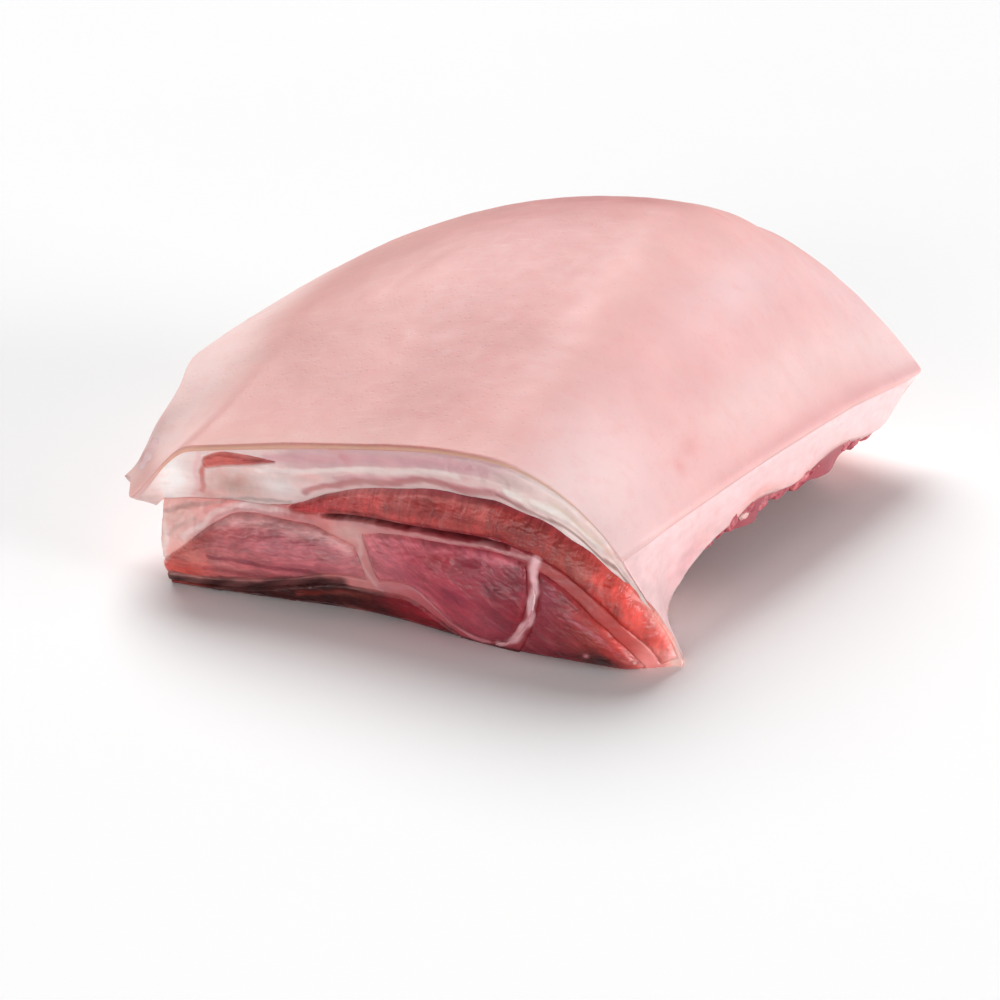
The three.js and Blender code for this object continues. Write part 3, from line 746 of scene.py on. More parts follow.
def fat_at(across, along, down):
    """Points of the fat under the rind, from just inside the rind down to the lean."""
    across, along, down = np.broadcast_arrays(across, along, down)
    sizes, colours = bpy.context.scene.slab_sizes, bpy.context.scene.slab_colours
    inner = (sizes.rind / MM - LAP) / cap_thickness(across, along)
    level = mix(np.minimum(inner, 0.6), 1.0, down)
    x, z = section_of_cap(across, level)
    bed = depth_inside(x, z, outline_of(SKIN_LEAN, steps=24))
    sunk = BED * ease(0, 0.8, bed)
    inset = LAP_INSET * (1 - ease(0.0, 0.12, down))
    share = np.clip(along, (sunk + inset) / DEPTH, 1 - (sunk + inset) / DEPTH)
    point = cap_point(np.clip(across, inset / RIND_ACROSS, 1 - inset / RIND_ACROSS), share, level)
    paint = np.broadcast_to(np.array(colours.fat), across.shape + (3,)).copy()
    paint = dabs(
        paint,
        (0.75 * (1 - ease(0.42, 0.5, down)) * ease(38, 52, x) * (1 - ease(118, 140, x)), "#d3a2a8"),
        (0.6 * ease(0.46, 0.56, down) * ease(20, 40, x) * (1 - ease(120, 150, x)), "#e0b8b6"),
        (0.8 * (1 - ease(-10, 2, x)), "#cfaeab"),
        (0.7 * ease(118, 134, x), "#f9e2de"))
    side = ease(0.95, 1.0, across)
    front = (1 - ease(0.02, 0.05, along)) * (1 - side)
    ends = np.maximum(front, ease(0.95, 0.98, along))
    marked = with_marks(paint, x, z, CAP_MARKS)
    side_fat = dabs(
        np.broadcast_to(np.array(colours.side_fat), paint.shape),
        (0.5 * bell(along, 0.24, 0.05) * bell(down, 0.7, 0.3), "#f0b9b6"),
        (0.7 * bell(along, 0.42, 0.08) * ease(0.6, 1, down), "#f39d94"),
        (0.5 * bell(along, 0.2, 0.05) * bell(down, 0.8, 0.25), "#e9a7ae"),
        (0.6 * bell(along, 0.62, 0.2) * ease(0.75, 1, down), "#f0b4ae"))
    paint = between(side_fat, marked, np.clip(ends, 0, 1))
    return point, paint, ease(0.0, 0.2, down) * (1 - 0.85 * side), point


def seam_paint(x, z):
    return with_marks(tones_at(x, WEB_TONES), x, z, WEB_MARKS)


def web_at(share, along, down):
    """Points of the seam fat round the muscles: it steps in a little where a muscle stands out."""
    share, along, down = np.broadcast_arrays(share, along, down)
    colours = bpy.context.scene.slab_colours
    x, z = section_of_web(share, along, down)
    bed = np.full(x.shape, -99.0)
    for name, shape in MUSCLES.items():
        outline = outline_of(shape, name == "upper_lean", steps=30)
        bed = np.maximum(bed, depth_inside(np.maximum(x, LEAN_LEFT + 1), np.maximum(z, 1), outline))
    height = height_on(FAT_EDGE, x)
    sunk = BED * ease(0, 0.8, bed)
    off = distance_to_line(x, z, smooth_line(CREVICE, 6)[0])
    slit = 1 - ease(0.35 * CREVICE_WIDE / 2, CREVICE_WIDE / 2, off)
    front = np.maximum(sunk, CREVICE_DEEP * slit)
    point = lean_point(np.maximum(share, sunk / (FOOT - LEAN_LEFT)),
                       np.clip(along, front / DEPTH, 1 - sunk / DEPTH),
                       np.minimum(down, 1 - sunk / height))
    behind = ease(0.03, 0.1, along) * (1 - ease(0.93, 0.98, along))
    # Painted shade: inside the slit under the upper muscle the seam is painted near black red.
    slit_shaded = dab(seam_paint(x, z), slit, "#4a090c")
    paint = between(slit_shaded, np.broadcast_to(np.array(colours.seam_fat), slit_shaded.shape), 0.8 * behind)
    right = ease(0.97, 1.0, share) * behind
    torn = ease(0.22, 0.34, along) * (1 - 0.6 * ease(0.74, 0.9, along)) * ease(0.0, 0.2, down)
    paint = dabs(paint, (right, "#efc2bd"), (0.9 * right * torn, "#a23a4c"),
                 (0.75 * ease(0.98, 1.0, down) * behind, "#a8514f"))
    return point, paint, np.ones_like(down), np.stack([x, z, DEPTH * along], -1)


def strand_at(name, shape, place):
    """Points of a muscle, which swells out at both cut faces and dips at its rim."""
    roofed = name == "upper_lean"
    loop = outline_of(shape, roofed, steps=40)
    marks = LEAN_MARKS[name]

    def at(s, along, t):
        s, along, t = np.broadcast_arrays(s, along, t)
        x, z = section_point(shape, s, t, roofed)
        point = place(x, z, along)
        inner = depth_inside(x, z, loop)
        swell = shape["belly"] * wave(s) ** 0.6 * wave(t) + RIM_RISE * ease(0, 1.6, inner) - RIM_DIP
        point[..., 1] -= swell * (1 - 2 * along) ** 5
        paint = with_marks(tones_at(x, shape["tones"]), x, z, marks)
        paint = between(seam_paint(x, z), paint, ease(-0.8, 2.0, inner))
        end = np.maximum(1 - ease(0, 0.02, along), ease(0.98, 1, along))
        return point, paint, end * ease(0, 1.0, inner), np.stack([x, z, DEPTH * along], -1)

    return at


# ---------------------------------------------------------------------------
# Nodes, for the shape trees and the materials alike
# ---------------------------------------------------------------------------

def add(tree, kind, inputs=None, **settings):
    """Adds a node with its settings. An input is a value, an output socket, or a node for its first one."""
    node = tree.nodes.new(kind)
    for name, value in settings.items():
        setattr(node, name, value)
    for key, value in (inputs or {}).items():
        if isinstance(value, bpy.types.Node):
            value = value.outputs[0]
        if isinstance(value, bpy.types.NodeSocket):
            tree.links.new(value, node.inputs[key])
        else:
            node.inputs[key].default_value = value
    return node


def shape_tree(name, inputs):
    """An empty Geometry Nodes tree with a geometry going in and out, and named inputs for its sizes."""
    tree = bpy.data.node_groups.new(name, "GeometryNodeTree")
    tree.interface.new_socket("Geometry", in_out="INPUT", socket_type="NodeSocketGeometry")
    for label, kind, default in inputs:
        socket = tree.interface.new_socket(label, in_out="INPUT", socket_type="NodeSocket" + kind)
        if default is not None:
            socket.default_value = default
    tree.interface.new_socket("Geometry", in_out="OUTPUT", socket_type="NodeSocketGeometry")
    return tree, tree.nodes.new("NodeGroupInput").outputs


def end_tree(tree, geometry, material):
    solid = add(tree, "GeometryNodeRealizeInstances", {"Geometry": geometry})
    smooth = add(tree, "GeometryNodeSetShadeSmooth", {"Geometry": solid})
    dressed = add(tree, "GeometryNodeSetMaterial", {"Geometry": smooth, "Material": material})
    add(tree, "NodeGroupOutput", {0: dressed})


def relief_tree():
    """Moves a cut or skinned surface in and out: broad swells, fine grain and rounded fibre bundles."""
    tree, given = shape_tree("surface_relief", [
        ("Swell size", "Float", 0.012), ("Swell height", "Float", 0.0005),
        ("Grain size", "Float", 0.0015), ("Grain height", "Float", 0.0002),
        ("Stretch", "Vector", (1.0, 1.0, 1.0)),
        ("Bundle size", "Float", 0.002), ("Bundle height", "Float", 0.0),
        ("Seed", "Float", 1.0), ("Material", "Material", None)])
    joined = add(tree, "GeometryNodeMergeByDistance", {"Geometry": given["Geometry"], "Distance": 2e-6})
    grain = add(tree, "GeometryNodeInputNamedAttribute", {"Name": "grain"}, data_type="FLOAT_VECTOR")
    relief = add(tree, "GeometryNodeInputNamedAttribute", {"Name": "relief"}, data_type="FLOAT")
    drawn = add(tree, "ShaderNodeVectorMath", {0: grain, 1: given["Stretch"]}, operation="MULTIPLY")
    moves = []
    for size, height, detail in (("Swell size", "Swell height", 2.0), ("Grain size", "Grain height", 3.0)):
        scale = add(tree, "ShaderNodeMath", {0: 1.0, 1: given[size]}, operation="DIVIDE")
        noise = add(tree, "ShaderNodeTexNoise", {"Vector": drawn, "W": given["Seed"],
                                                 "Scale": scale, "Detail": detail},
                    noise_dimensions="4D")
        centred = add(tree, "ShaderNodeMath", {0: noise, 1: 0.5}, operation="SUBTRACT")
        moves.append(add(tree, "ShaderNodeMath", {0: centred, 1: given[height]}, operation="MULTIPLY"))
    scale = add(tree, "ShaderNodeMath", {0: 1.0, 1: given["Bundle size"]}, operation="DIVIDE")
    cells = add(tree, "ShaderNodeTexVoronoi", {"Vector": drawn, "Scale": scale},
                feature="DISTANCE_TO_EDGE")
    round_top = add(tree, "ShaderNodeMath", {0: cells.outputs["Distance"], 1: 0.35}, operation="MINIMUM")
    moves.append(add(tree, "ShaderNodeMath", {0: round_top, 1: given["Bundle height"]},
                     operation="MULTIPLY"))
    total = moves[0]
    for move in moves[1:]:
        total = add(tree, "ShaderNodeMath", {0: total, 1: move}, operation="ADD")
    shown = add(tree, "ShaderNodeMath", {0: total, 1: relief}, operation="MULTIPLY")
    normal = add(tree, "GeometryNodeInputNormal")
    offset = add(tree, "ShaderNodeVectorMath", {0: normal, "Scale": shown}, operation="SCALE")
    moved = add(tree, "GeometryNodeSetPosition", {"Geometry": joined, "Offset": offset})
    end_tree(tree, moved, given["Material"])
    return tree


def pushed_about(tree, geometry, noise, amount):
    """Moves every point by the noise's colour, taken about its middle."""
    drift = add(tree, "ShaderNodeVectorMath", {0: noise.outputs["Color"], 1: (0.5, 0.5, 0.5)},
                operation="SUBTRACT")
    by = add(tree, "ShaderNodeVectorMath", {0: drift, "Scale": amount}, operation="SCALE")
    return add(tree, "GeometryNodeSetPosition", {"Geometry": geometry, "Offset": by})


def strand_tree():
    """Draws a strand of membrane along each line: its width wanders and it thins out at both ends."""
    tree, given = shape_tree("membrane_strand", [
        ("Half width", "Float", 0.0012), ("Wander", "Float", 0.0004), ("Seed", "Float", 1.0),
        ("Sides", "Int", 10), ("Step", "Float", 0.0005), ("Material", "Material", None)])
    line = add(tree, "GeometryNodeMeshToCurve", {"Mesh": given["Geometry"]})
    even = add(tree, "GeometryNodeResampleCurve", {"Curve": line, "Length": given["Step"]},
               mode="LENGTH")
    position = add(tree, "GeometryNodeInputPosition")
    noise = add(tree, "ShaderNodeTexNoise", {"Vector": position, "W": given["Seed"], "Scale": 260.0},
                noise_dimensions="4D")
    bent = pushed_about(tree, even, noise, given["Wander"])
    along = add(tree, "GeometryNodeSplineParameter")
    ends = add(tree, "ShaderNodeMath", {0: along.outputs["Factor"], 1: np.pi}, operation="MULTIPLY")
    sine = add(tree, "ShaderNodeMath", {0: ends}, operation="SINE")
    taper = add(tree, "ShaderNodeMath", {0: sine, 1: 0.45}, operation="POWER")
    uneven = add(tree, "ShaderNodeMapRange", {"Value": noise, "From Min": 0.3, "From Max": 0.7,
                                              "To Min": 0.35, "To Max": 1.0})
    wide = add(tree, "ShaderNodeMath", {0: taper, 1: uneven}, operation="MULTIPLY")
    ring = add(tree, "GeometryNodeCurvePrimitiveCircle", {"Resolution": given["Sides"],
                                                          "Radius": given["Half width"]})
    tube = add(tree, "GeometryNodeCurveToMesh", {"Curve": bent, "Profile Curve": ring,
                                                 "Scale": wide, "Fill Caps": True})
    end_tree(tree, tube, given["Material"])
    return tree


def scrap_tree():
    """Hangs ragged scraps along each line: lumps of random size, pulled and pitted by noise."""
    tree, given = shape_tree("hanging_scraps", [
        ("Spacing", "Float", 0.004), ("Smallest", "Float", 0.001), ("Largest", "Float", 0.003),
        ("Spread", "Float", 0.002), ("Raggedness", "Float", 0.0024), ("Seed", "Int", 1),
        ("Material", "Material", None)])
    line = add(tree, "GeometryNodeMeshToCurve", {"Mesh": given["Geometry"]})
    dots = add(tree, "GeometryNodeCurveToPoints", {"Curve": line, "Length": given["Spacing"]},
               mode="LENGTH")
    low = add(tree, "ShaderNodeMath", {0: given["Spread"], 1: -1.0}, operation="MULTIPLY")
    least = add(tree, "ShaderNodeCombineXYZ", {0: low, 1: low, 2: low})
    most = add(tree, "ShaderNodeCombineXYZ", {0: given["Spread"], 1: given["Spread"], 2: given["Spread"]})
    aside = add(tree, "FunctionNodeRandomValue", {"Min": least, "Max": most,
                                                  "Seed": given["Seed"]}, data_type="FLOAT_VECTOR")
    strewn = add(tree, "GeometryNodeSetPosition", {"Geometry": dots, "Offset": aside})
    lump = add(tree, "GeometryNodeMeshIcoSphere", {"Radius": 1.0, "Subdivisions": 4})
    size = add(tree, "FunctionNodeRandomValue", {"Min": given["Smallest"], "Max": given["Largest"],
                                                 "Seed": given["Seed"]}, data_type="FLOAT")
    long = add(tree, "ShaderNodeMath", {0: size.outputs["Value"], 1: 1.9}, operation="MULTIPLY")
    form = add(tree, "ShaderNodeCombineXYZ", {0: size.outputs["Value"], 1: long,
                                              2: size.outputs["Value"]})
    turn = add(tree, "FunctionNodeRandomValue", {"Min": (-0.6, -0.5, -0.7), "Max": (0.6, 0.5, 0.3),
                                                 "Seed": given["Seed"]}, data_type="FLOAT_VECTOR")
    lumps = add(tree, "GeometryNodeInstanceOnPoints", {"Points": strewn, "Instance": lump,
                                                       "Rotation": turn, "Scale": form})
    solid = add(tree, "GeometryNodeRealizeInstances", {"Geometry": lumps})
    position = add(tree, "GeometryNodeInputPosition")
    noise = add(tree, "ShaderNodeTexNoise", {"Vector": position, "Scale": 420.0, "Detail": 3.0})
    ragged = pushed_about(tree, solid, noise, given["Raggedness"])
    end_tree(tree, ragged, given["Material"])
    return tree


def finished(piece, tree, **values):
    """Runs a shape tree on a piece and keeps the result as its plain mesh."""
    modifier = piece.modifiers.new(tree.name, "NODES")
    modifier.node_group = tree
    sockets = {item.name.replace(" ", "_").lower(): item.identifier
               for item in tree.interface.items_tree if item.in_out == "INPUT"}
    for name, value in values.items():
        modifier[sockets[name]] = value
    shown = piece.evaluated_get(bpy.context.evaluated_depsgraph_get())
    rough, piece.data = piece.data, bpy.data.meshes.new_from_object(shown)
    piece.modifiers.clear()
    piece.data.name = piece.name
    bpy.data.meshes.remove(rough)
    return piece


def kept(piece, slot, *nodes):
    """Sets a finished piece on the slab's body, as what stands for these solids."""
    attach(piece, "root")
    if nodes:
        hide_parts(*nodes)


# ---------------------------------------------------------------------------
# Materials
# ---------------------------------------------------------------------------

def new_material(name, **shading):
    """A material with its shader, the painted tint and the coordinates that its patterns use."""
    made = bpy.data.materials.new(name)
    made.use_nodes = True
    tree = made.node_tree
    tree.nodes.clear()
    shader = add(tree, "ShaderNodeBsdfPrincipled", shading)
    add(tree, "ShaderNodeOutputMaterial", {"Surface": shader})
    tint = add(tree, "ShaderNodeAttribute", attribute_name="tint").outputs["Color"]
    grain = add(tree, "ShaderNodeAttribute", attribute_name="grain").outputs["Vector"]
    place = add(tree, "ShaderNodeTexCoord").outputs["Object"]
    return made, tree, shader, tint, grain, place


def per_mm(size):
    """The Scale of a pattern whose cells are this many millimetres wide."""
    return 1 / (size * MM)


def shaded(tree, colour, pattern, low, high, darkest, brightest):
    """A colour made darker where the pattern is low and brighter where it is high."""
    level = add(tree, "ShaderNodeMapRange", {"Value": pattern, "From Min": low, "From Max": high,
                                             "To Min": darkest, "To Max": brightest})
    scaled = add(tree, "ShaderNodeVectorMath", {0: colour, "Scale": level}, operation="SCALE")
    return scaled.outputs[0]


def tinged(tree, colour, pattern, low, high, amount, hex_colour, blend="MIX"):
    """A colour with another one laid over it, or multiplied into it, where the pattern is high."""
    level = add(tree, "ShaderNodeMapRange", {"Value": pattern, "From Min": low, "From Max": high,
                                             "To Min": 0.0, "To Max": amount})
    mixed = add(tree, "ShaderNodeMix", {0: level, 6: colour, 7: (*linear(hex_colour), 1.0)},
                data_type="RGBA", blend_type=blend)
    return mixed.outputs[2]


def roughened(tree, shader, pattern, low, high, smooth, rough):
    level = add(tree, "ShaderNodeMapRange", {"Value": pattern, "From Min": low, "From Max": high,
                                             "To Min": smooth, "To Max": rough})
    tree.links.new(level.outputs[0], shader.inputs["Roughness"])


def bumped(tree, shader, *layers):
    """Bump from several patterns, each with its height in millimetres, one over the other."""
    normal = None
    for pattern, height in layers:
        inputs = {"Height": pattern, "Strength": 1.0, "Distance": height * MM}
        if normal:
            inputs["Normal"] = normal
        normal = add(tree, "ShaderNodeBump", inputs).outputs[0]
    for socket in ("Normal", "Coat Normal"):
        tree.links.new(normal, shader.inputs[socket])


def scalded_rind():
    """Pork skin, scalded and scraped: satin and slightly translucent, mottled pink, with closed pores
    and faint creases, which break up its broad highlight."""
    made, tree, shader, tint, _, place = new_material("scalded_pork_skin", **{
        "Roughness": 0.42, "IOR": 1.4, "Subsurface Weight": 0.22, "Subsurface Scale": 0.004,
        "Subsurface Radius": (1.0, 0.4, 0.28), "Coat Weight": 0.06, "Coat Roughness": 0.34,
        "Specular IOR Level": 0.38})
    blotches = add(tree, "ShaderNodeTexNoise", {"Vector": place, "Scale": per_mm(26), "Detail": 4.0})
    flush = add(tree, "ShaderNodeTexNoise", {"Vector": place, "Scale": per_mm(7), "Detail": 5.0,
                                             "Roughness": 0.6})
    creased = add(tree, "ShaderNodeMapping", {"Vector": place, "Rotation": (0.0, 0.0, 0.25),
                                              "Scale": (0.35, 1.6, 1.0)})
    creases = add(tree, "ShaderNodeTexNoise", {"Vector": creased, "Scale": per_mm(5), "Detail": 4.0,
                                               "Roughness": 0.5, "Distortion": 0.4})
    pores = add(tree, "ShaderNodeTexVoronoi", {"Vector": place, "Scale": per_mm(2.4), "Randomness": 0.9})
    fine = add(tree, "ShaderNodeTexNoise", {"Vector": place, "Scale": per_mm(0.9), "Detail": 4.0})
    colour = shaded(tree, tint, blotches, 0.35, 0.65, 0.955, 1.03)
    colour = tinged(tree, colour, flush, 0.5, 0.75, 0.22, "#ef9f9f")
    colour = tinged(tree, colour, creases, 0.56, 0.74, 0.07, "#fbe2dc")
    colour = shaded(tree, colour, pores.outputs["Distance"], 0.0, 0.22, 0.93, 1.0)
    tree.links.new(colour, shader.inputs["Base Color"])
    roughened(tree, shader, flush, 0.35, 0.7, 0.43, 0.5)
    pit = add(tree, "ShaderNodeMapRange", {"Value": pores.outputs["Distance"], "From Min": 0.0,
                                           "From Max": 0.3, "To Min": 0.0, "To Max": 1.0})
    bumped(tree, shader, (creases, 0.04), (fine, 0.03), (pit, 0.05))
    return made


def knife_cut_fat():
    """Raw back fat and seam fat, cut with a knife: waxy, light sinks in, small lobules, and a moist film."""
    made, tree, shader, tint, _, place = new_material("knife_cut_pork_fat", **{
        "Roughness": 0.34, "IOR": 1.45, "Subsurface Weight": 0.3, "Subsurface Scale": 0.004,
        "Subsurface Radius": (1.0, 0.55, 0.45), "Coat Weight": 0.22, "Coat Roughness": 0.24})
    cloudy = add(tree, "ShaderNodeTexNoise", {"Vector": place, "Scale": per_mm(9), "Detail": 5.0,
                                              "Roughness": 0.6})
    lobules = add(tree, "ShaderNodeTexVoronoi", {"Vector": place, "Scale": per_mm(3.4)}, feature="SMOOTH_F1")
    drawn = add(tree, "ShaderNodeMapping", {"Vector": place, "Rotation": (0.0, 0.3, 0.35),
                                            "Scale": (0.3, 0.5, 1.8)})
    drag = add(tree, "ShaderNodeTexNoise", {"Vector": drawn, "Scale": per_mm(4), "Detail": 3.0,
                                            "Roughness": 0.5})
    colour = shaded(tree, tint, cloudy, 0.32, 0.68, 0.9, 1.05)
    colour = tinged(tree, colour, cloudy, 0.54, 0.7, 0.5, "#f0c8c4", "MULTIPLY")
    colour = shaded(tree, colour, drag, 0.35, 0.7, 0.96, 1.06)
    colour = shaded(tree, colour, lobules.outputs["Distance"], 0.2, 0.75, 1.01, 0.97)
    tree.links.new(colour, shader.inputs["Base Color"])
    roughened(tree, shader, cloudy, 0.35, 0.65, 0.34, 0.44)
    bumped(tree, shader, (drag, 0.15))
    return made


def cut_lean(name, turn, paleness, wetness):
    """Raw lean cut across the grain: soft mottling, short fibre streaks one way, hazy pale marbling, and
    a wet film that catches the light in small streaks."""
    made, tree, shader, tint, grain, _ = new_material(name, **{
        "Roughness": 0.4, "IOR": 1.4, "Subsurface Weight": 0.16, "Subsurface Scale": 0.003,
        "Subsurface Radius": (1.0, 0.22, 0.2), "Coat Weight": wetness, "Coat Roughness": 0.16})
    long = add(tree, "ShaderNodeVectorMath", {0: grain, 1: (1.0, 1.0, 0.1)}, operation="MULTIPLY")
    bent = add(tree, "ShaderNodeTexNoise", {"Vector": long, "Scale": per_mm(7), "Detail": 2.0})
    warp = add(tree, "ShaderNodeVectorMath", {0: bent.outputs["Color"], 1: (0.004, 0.004, 0.0), 2: long},
               operation="MULTIPLY_ADD")
    turned = add(tree, "ShaderNodeMapping", {"Vector": warp, "Rotation": (0.0, 0.0, -turn)})
    drawn = add(tree, "ShaderNodeVectorMath", {0: turned, 1: (0.3, 1.5, 0.5)}, operation="MULTIPLY")
    fibres = add(tree, "ShaderNodeTexNoise", {"Vector": drawn, "Scale": per_mm(1.5), "Detail": 5.0,
                                              "Roughness": 0.6})
    streaks = add(tree, "ShaderNodeTexNoise", {"Vector": drawn, "Scale": per_mm(4.2), "Detail": 4.0,
                                               "Roughness": 0.55, "Distortion": 0.2})
    patches = add(tree, "ShaderNodeTexNoise", {"Vector": long, "Scale": per_mm(8), "Detail": 4.0})
    haze = add(tree, "ShaderNodeTexNoise", {"Vector": drawn, "Scale": per_mm(6), "Detail": 5.0,
                                            "Roughness": 0.62, "Distortion": 0.5})
    colour = shaded(tree, tint, patches, 0.33, 0.67, 0.78, 1.18)
    colour = shaded(tree, colour, streaks, 0.34, 0.66, 0.84, 1.15)
    colour = shaded(tree, colour, fibres, 0.3, 0.7, 0.84, 1.14)
    colour = tinged(tree, colour, haze, 0.56, 0.72, paleness, "#e3a5a2")
    tree.links.new(colour, shader.inputs["Base Color"])
    roughened(tree, shader, streaks, 0.35, 0.65, 0.3, 0.52)
    bumped(tree, shader, (streaks, 0.5), (fibres, 0.2))
    return made


def silverskin():
    """Silverskin and seam membrane: a thin wet sheet, bluish white to pink, that shines along its folds."""
    made, tree, shader, _, _, place = new_material("wet_silverskin", **{
        "Roughness": 0.28, "IOR": 1.42, "Subsurface Weight": 0.4, "Subsurface Scale": 0.003,
        "Subsurface Radius": (1.0, 0.5, 0.45), "Coat Weight": 0.5, "Coat Roughness": 0.12})
    patches = add(tree, "ShaderNodeTexNoise", {"Vector": place, "Scale": per_mm(4), "Detail": 5.0})
    plain = add(tree, "ShaderNodeRGB")
    plain.outputs[0].default_value = (*linear("#f2aab2"), 1.0)
    colour = tinged(tree, plain, patches, 0.47, 0.64, 0.7, "#fbdfdc")
    colour = tinged(tree, colour, patches, 0.5, 0.34, 0.8, "#d07c86")
    tree.links.new(colour, shader.inputs["Base Color"])
    bumped(tree, shader, (patches, 0.4))
    return made


def torn_lean(name, pale, dark):
    """Scraps torn off by hand: ragged lean or fat with glossy wet tips."""
    made, tree, shader, _, _, place = new_material(name, **{
        "Roughness": 0.33, "IOR": 1.4, "Subsurface Weight": 0.25, "Subsurface Scale": 0.003,
        "Subsurface Radius": (1.0, 0.35, 0.3), "Coat Weight": 0.45, "Coat Roughness": 0.14})
    patches = add(tree, "ShaderNodeTexNoise", {"Vector": place, "Scale": per_mm(3.2), "Detail": 5.0,
                                               "Roughness": 0.65})
    plain = add(tree, "ShaderNodeRGB")
    plain.outputs[0].default_value = (*linear(dark), 1.0)
    colour = tinged(tree, plain, patches, 0.4, 0.66, 1.0, pale)
    tree.links.new(colour, shader.inputs["Base Color"])
    bumped(tree, shader, (patches, 0.8))
    return made


def studio_paper(colour):
    """Seamless matt paper: almost white, with the slightest unevenness."""
    made, tree, shader, _, _, place = new_material("matt_white_paper", **{"Roughness": 0.85, "IOR": 1.45})
    cloudy = add(tree, "ShaderNodeTexNoise", {"Vector": place, "Scale": per_mm(300), "Detail": 2.0})
    plain = add(tree, "ShaderNodeRGB")
    plain.outputs[0].default_value = (*colour, 1.0)
    tree.links.new(shaded(tree, plain, cloudy, 0.3, 0.7, 0.99, 1.0),
                   shader.inputs["Base Color"])
    shader.inputs["Specular IOR Level"].default_value = 0.1
    return made


# ---------------------------------------------------------------------------
# Sizes and colours that a user would change
# ---------------------------------------------------------------------------

def length_of(label, about, default):
    return FloatProperty(name=label, description=about, default=default, min=0.0, precision=5,
                         subtype="DISTANCE", unit="LENGTH")


def colour_of(label, about, hex_colour):
    return FloatVectorProperty(name=label, description=about, default=tuple(linear(hex_colour)), size=3,
                               min=0.0, max=1.0, subtype="COLOR")


class SlabSizes(PropertyGroup):
    rind: length_of("Rind", "Thickness of the rind", 2.0 * MM)
    rind_cell: length_of("Rind cell", "Width of one mesh cell on the rind", 1.5 * MM)
    cut_cell: length_of("Cut cell", "Width of one mesh cell on the front cut", 0.5 * MM)
    lean_cell: length_of("Lean cell", "Width of one mesh cell on a cut muscle", 0.42 * MM)
    membrane: length_of("Membrane", "Half the width of a membrane strand", 0.62 * MM)
    scrap: length_of("Scrap", "Half the width of the largest hanging scrap", 3.0 * MM)
    bundle: length_of("Bundle", "Width of a bundle of muscle fibres", 2.1 * MM)
    seed: IntProperty(name="Seed", description="Start of every random pattern", default=7)


class SlabColours(PropertyGroup):
    rind: colour_of("Rind", "Skin over the middle of the slab", "#d9918b")
    fat: colour_of("Cut fat", "Back fat on the front and back cut", "#edccc8")
    side_fat: colour_of("Side fat", "Smooth fat along the right side", "#f5cccd")
    seam_fat: colour_of("Seam fat", "Fat between the muscles", "#e8bdb7")


class StageSettings(PropertyGroup):
    paper: colour_of("Paper", "Colour of the floor", "#ffffff")
    sky: FloatProperty(name="Sky", description="Strength of the even light from all round", default=0.15)
    key: FloatProperty(name="Key", description="Strength of the soft light from above and behind",
                       default=3.0)
    fill: FloatProperty(name="Fill", description="Strength of the low light from the front", default=1.7)
    side: FloatProperty(name="Side", description="Strength of the low light from the right", default=3.6)
    spread: FloatProperty(name="Spread", description="How wide the soft lights are", default=np.radians(40),
                          subtype="ANGLE", unit="ROTATION")


# ---------------------------------------------------------------------------
# Operators
# ---------------------------------------------------------------------------

class SLAB_OT_rind(Operator):
    """Make the rind: the skin over the whole slab, with its cut edges"""
    bl_idname = "slab.rind"
    bl_label = "Rind"

    def execute(self, context):
        sizes = context.scene.slab_sizes
        cell = sizes.rind_cell / MM
        across = stations(RIND_ACROSS, cell, 2, 0.3)
        along = stations(DEPTH, cell, 2, 0.3)
        down = np.linspace(0, 1, 7)
        surface = closed_block(rind_at, across, (along, along), down, sheets=(False, True), cell=9,
                               size=(RIND_ACROSS, SHEET_DEEP))
        piece = surface.mesh("rind")
        finished(piece, relief_tree(), swell_size=0.022, swell_height=0.0012, grain_size=0.005,
                 grain_height=0.00007, seed=float(sizes.seed), material=scalded_rind())
        kept(piece, "rind", "rind_and_fat")
        return {"FINISHED"}


class SLAB_OT_fat(Operator):
    """Make the fat: the layer under the rind, and the web that holds the muscles"""
    bl_idname = "slab.fat"
    bl_label = "Fat"

    def execute(self, context):
        sizes = context.scene.slab_sizes
        cell, fat = sizes.cut_cell / MM, knife_cut_fat()
        back, side = stations(RIND_ACROSS, 4 * cell, 1.5, 0.5), stations(DEPTH, 2.4 * cell, 2, 0.5)
        layer = closed_block(fat_at, stations(LEAN_ACROSS, cell), (stations(DEPTH, 5 * cell, 2, 0.5), side),
                             stations(FAT_TALL, cell), back, cell=9,
                             size=(FAT_ACROSS, SHEET_DEEP)).mesh("back_fat")
        finished(layer, relief_tree(), swell_size=0.009, swell_height=0.0012, grain_size=0.0024,
                 grain_height=0.00035, seed=sizes.seed + 1.0, material=fat)
        kept(layer, "fat", "rind_and_fat")
        web = closed_block(web_at, stations(LEAN_ACROSS, cell), (stations(DEPTH, 5 * cell, 2, 0.5), side),
                           stations(WEB_TALL, cell), stations(LEAN_ACROSS, 2 * cell), cell=8,
                           size=(LEAN_ACROSS, SHEET_DEEP)).mesh("seam_fat_web")
        finished(web, relief_tree(), swell_size=0.007, swell_height=0.0011, grain_size=0.0018,
                 grain_height=0.0004, seed=sizes.seed + 2.0, material=fat)
        kept(web, "fat", "seam_fat")
        return {"FINISHED"}


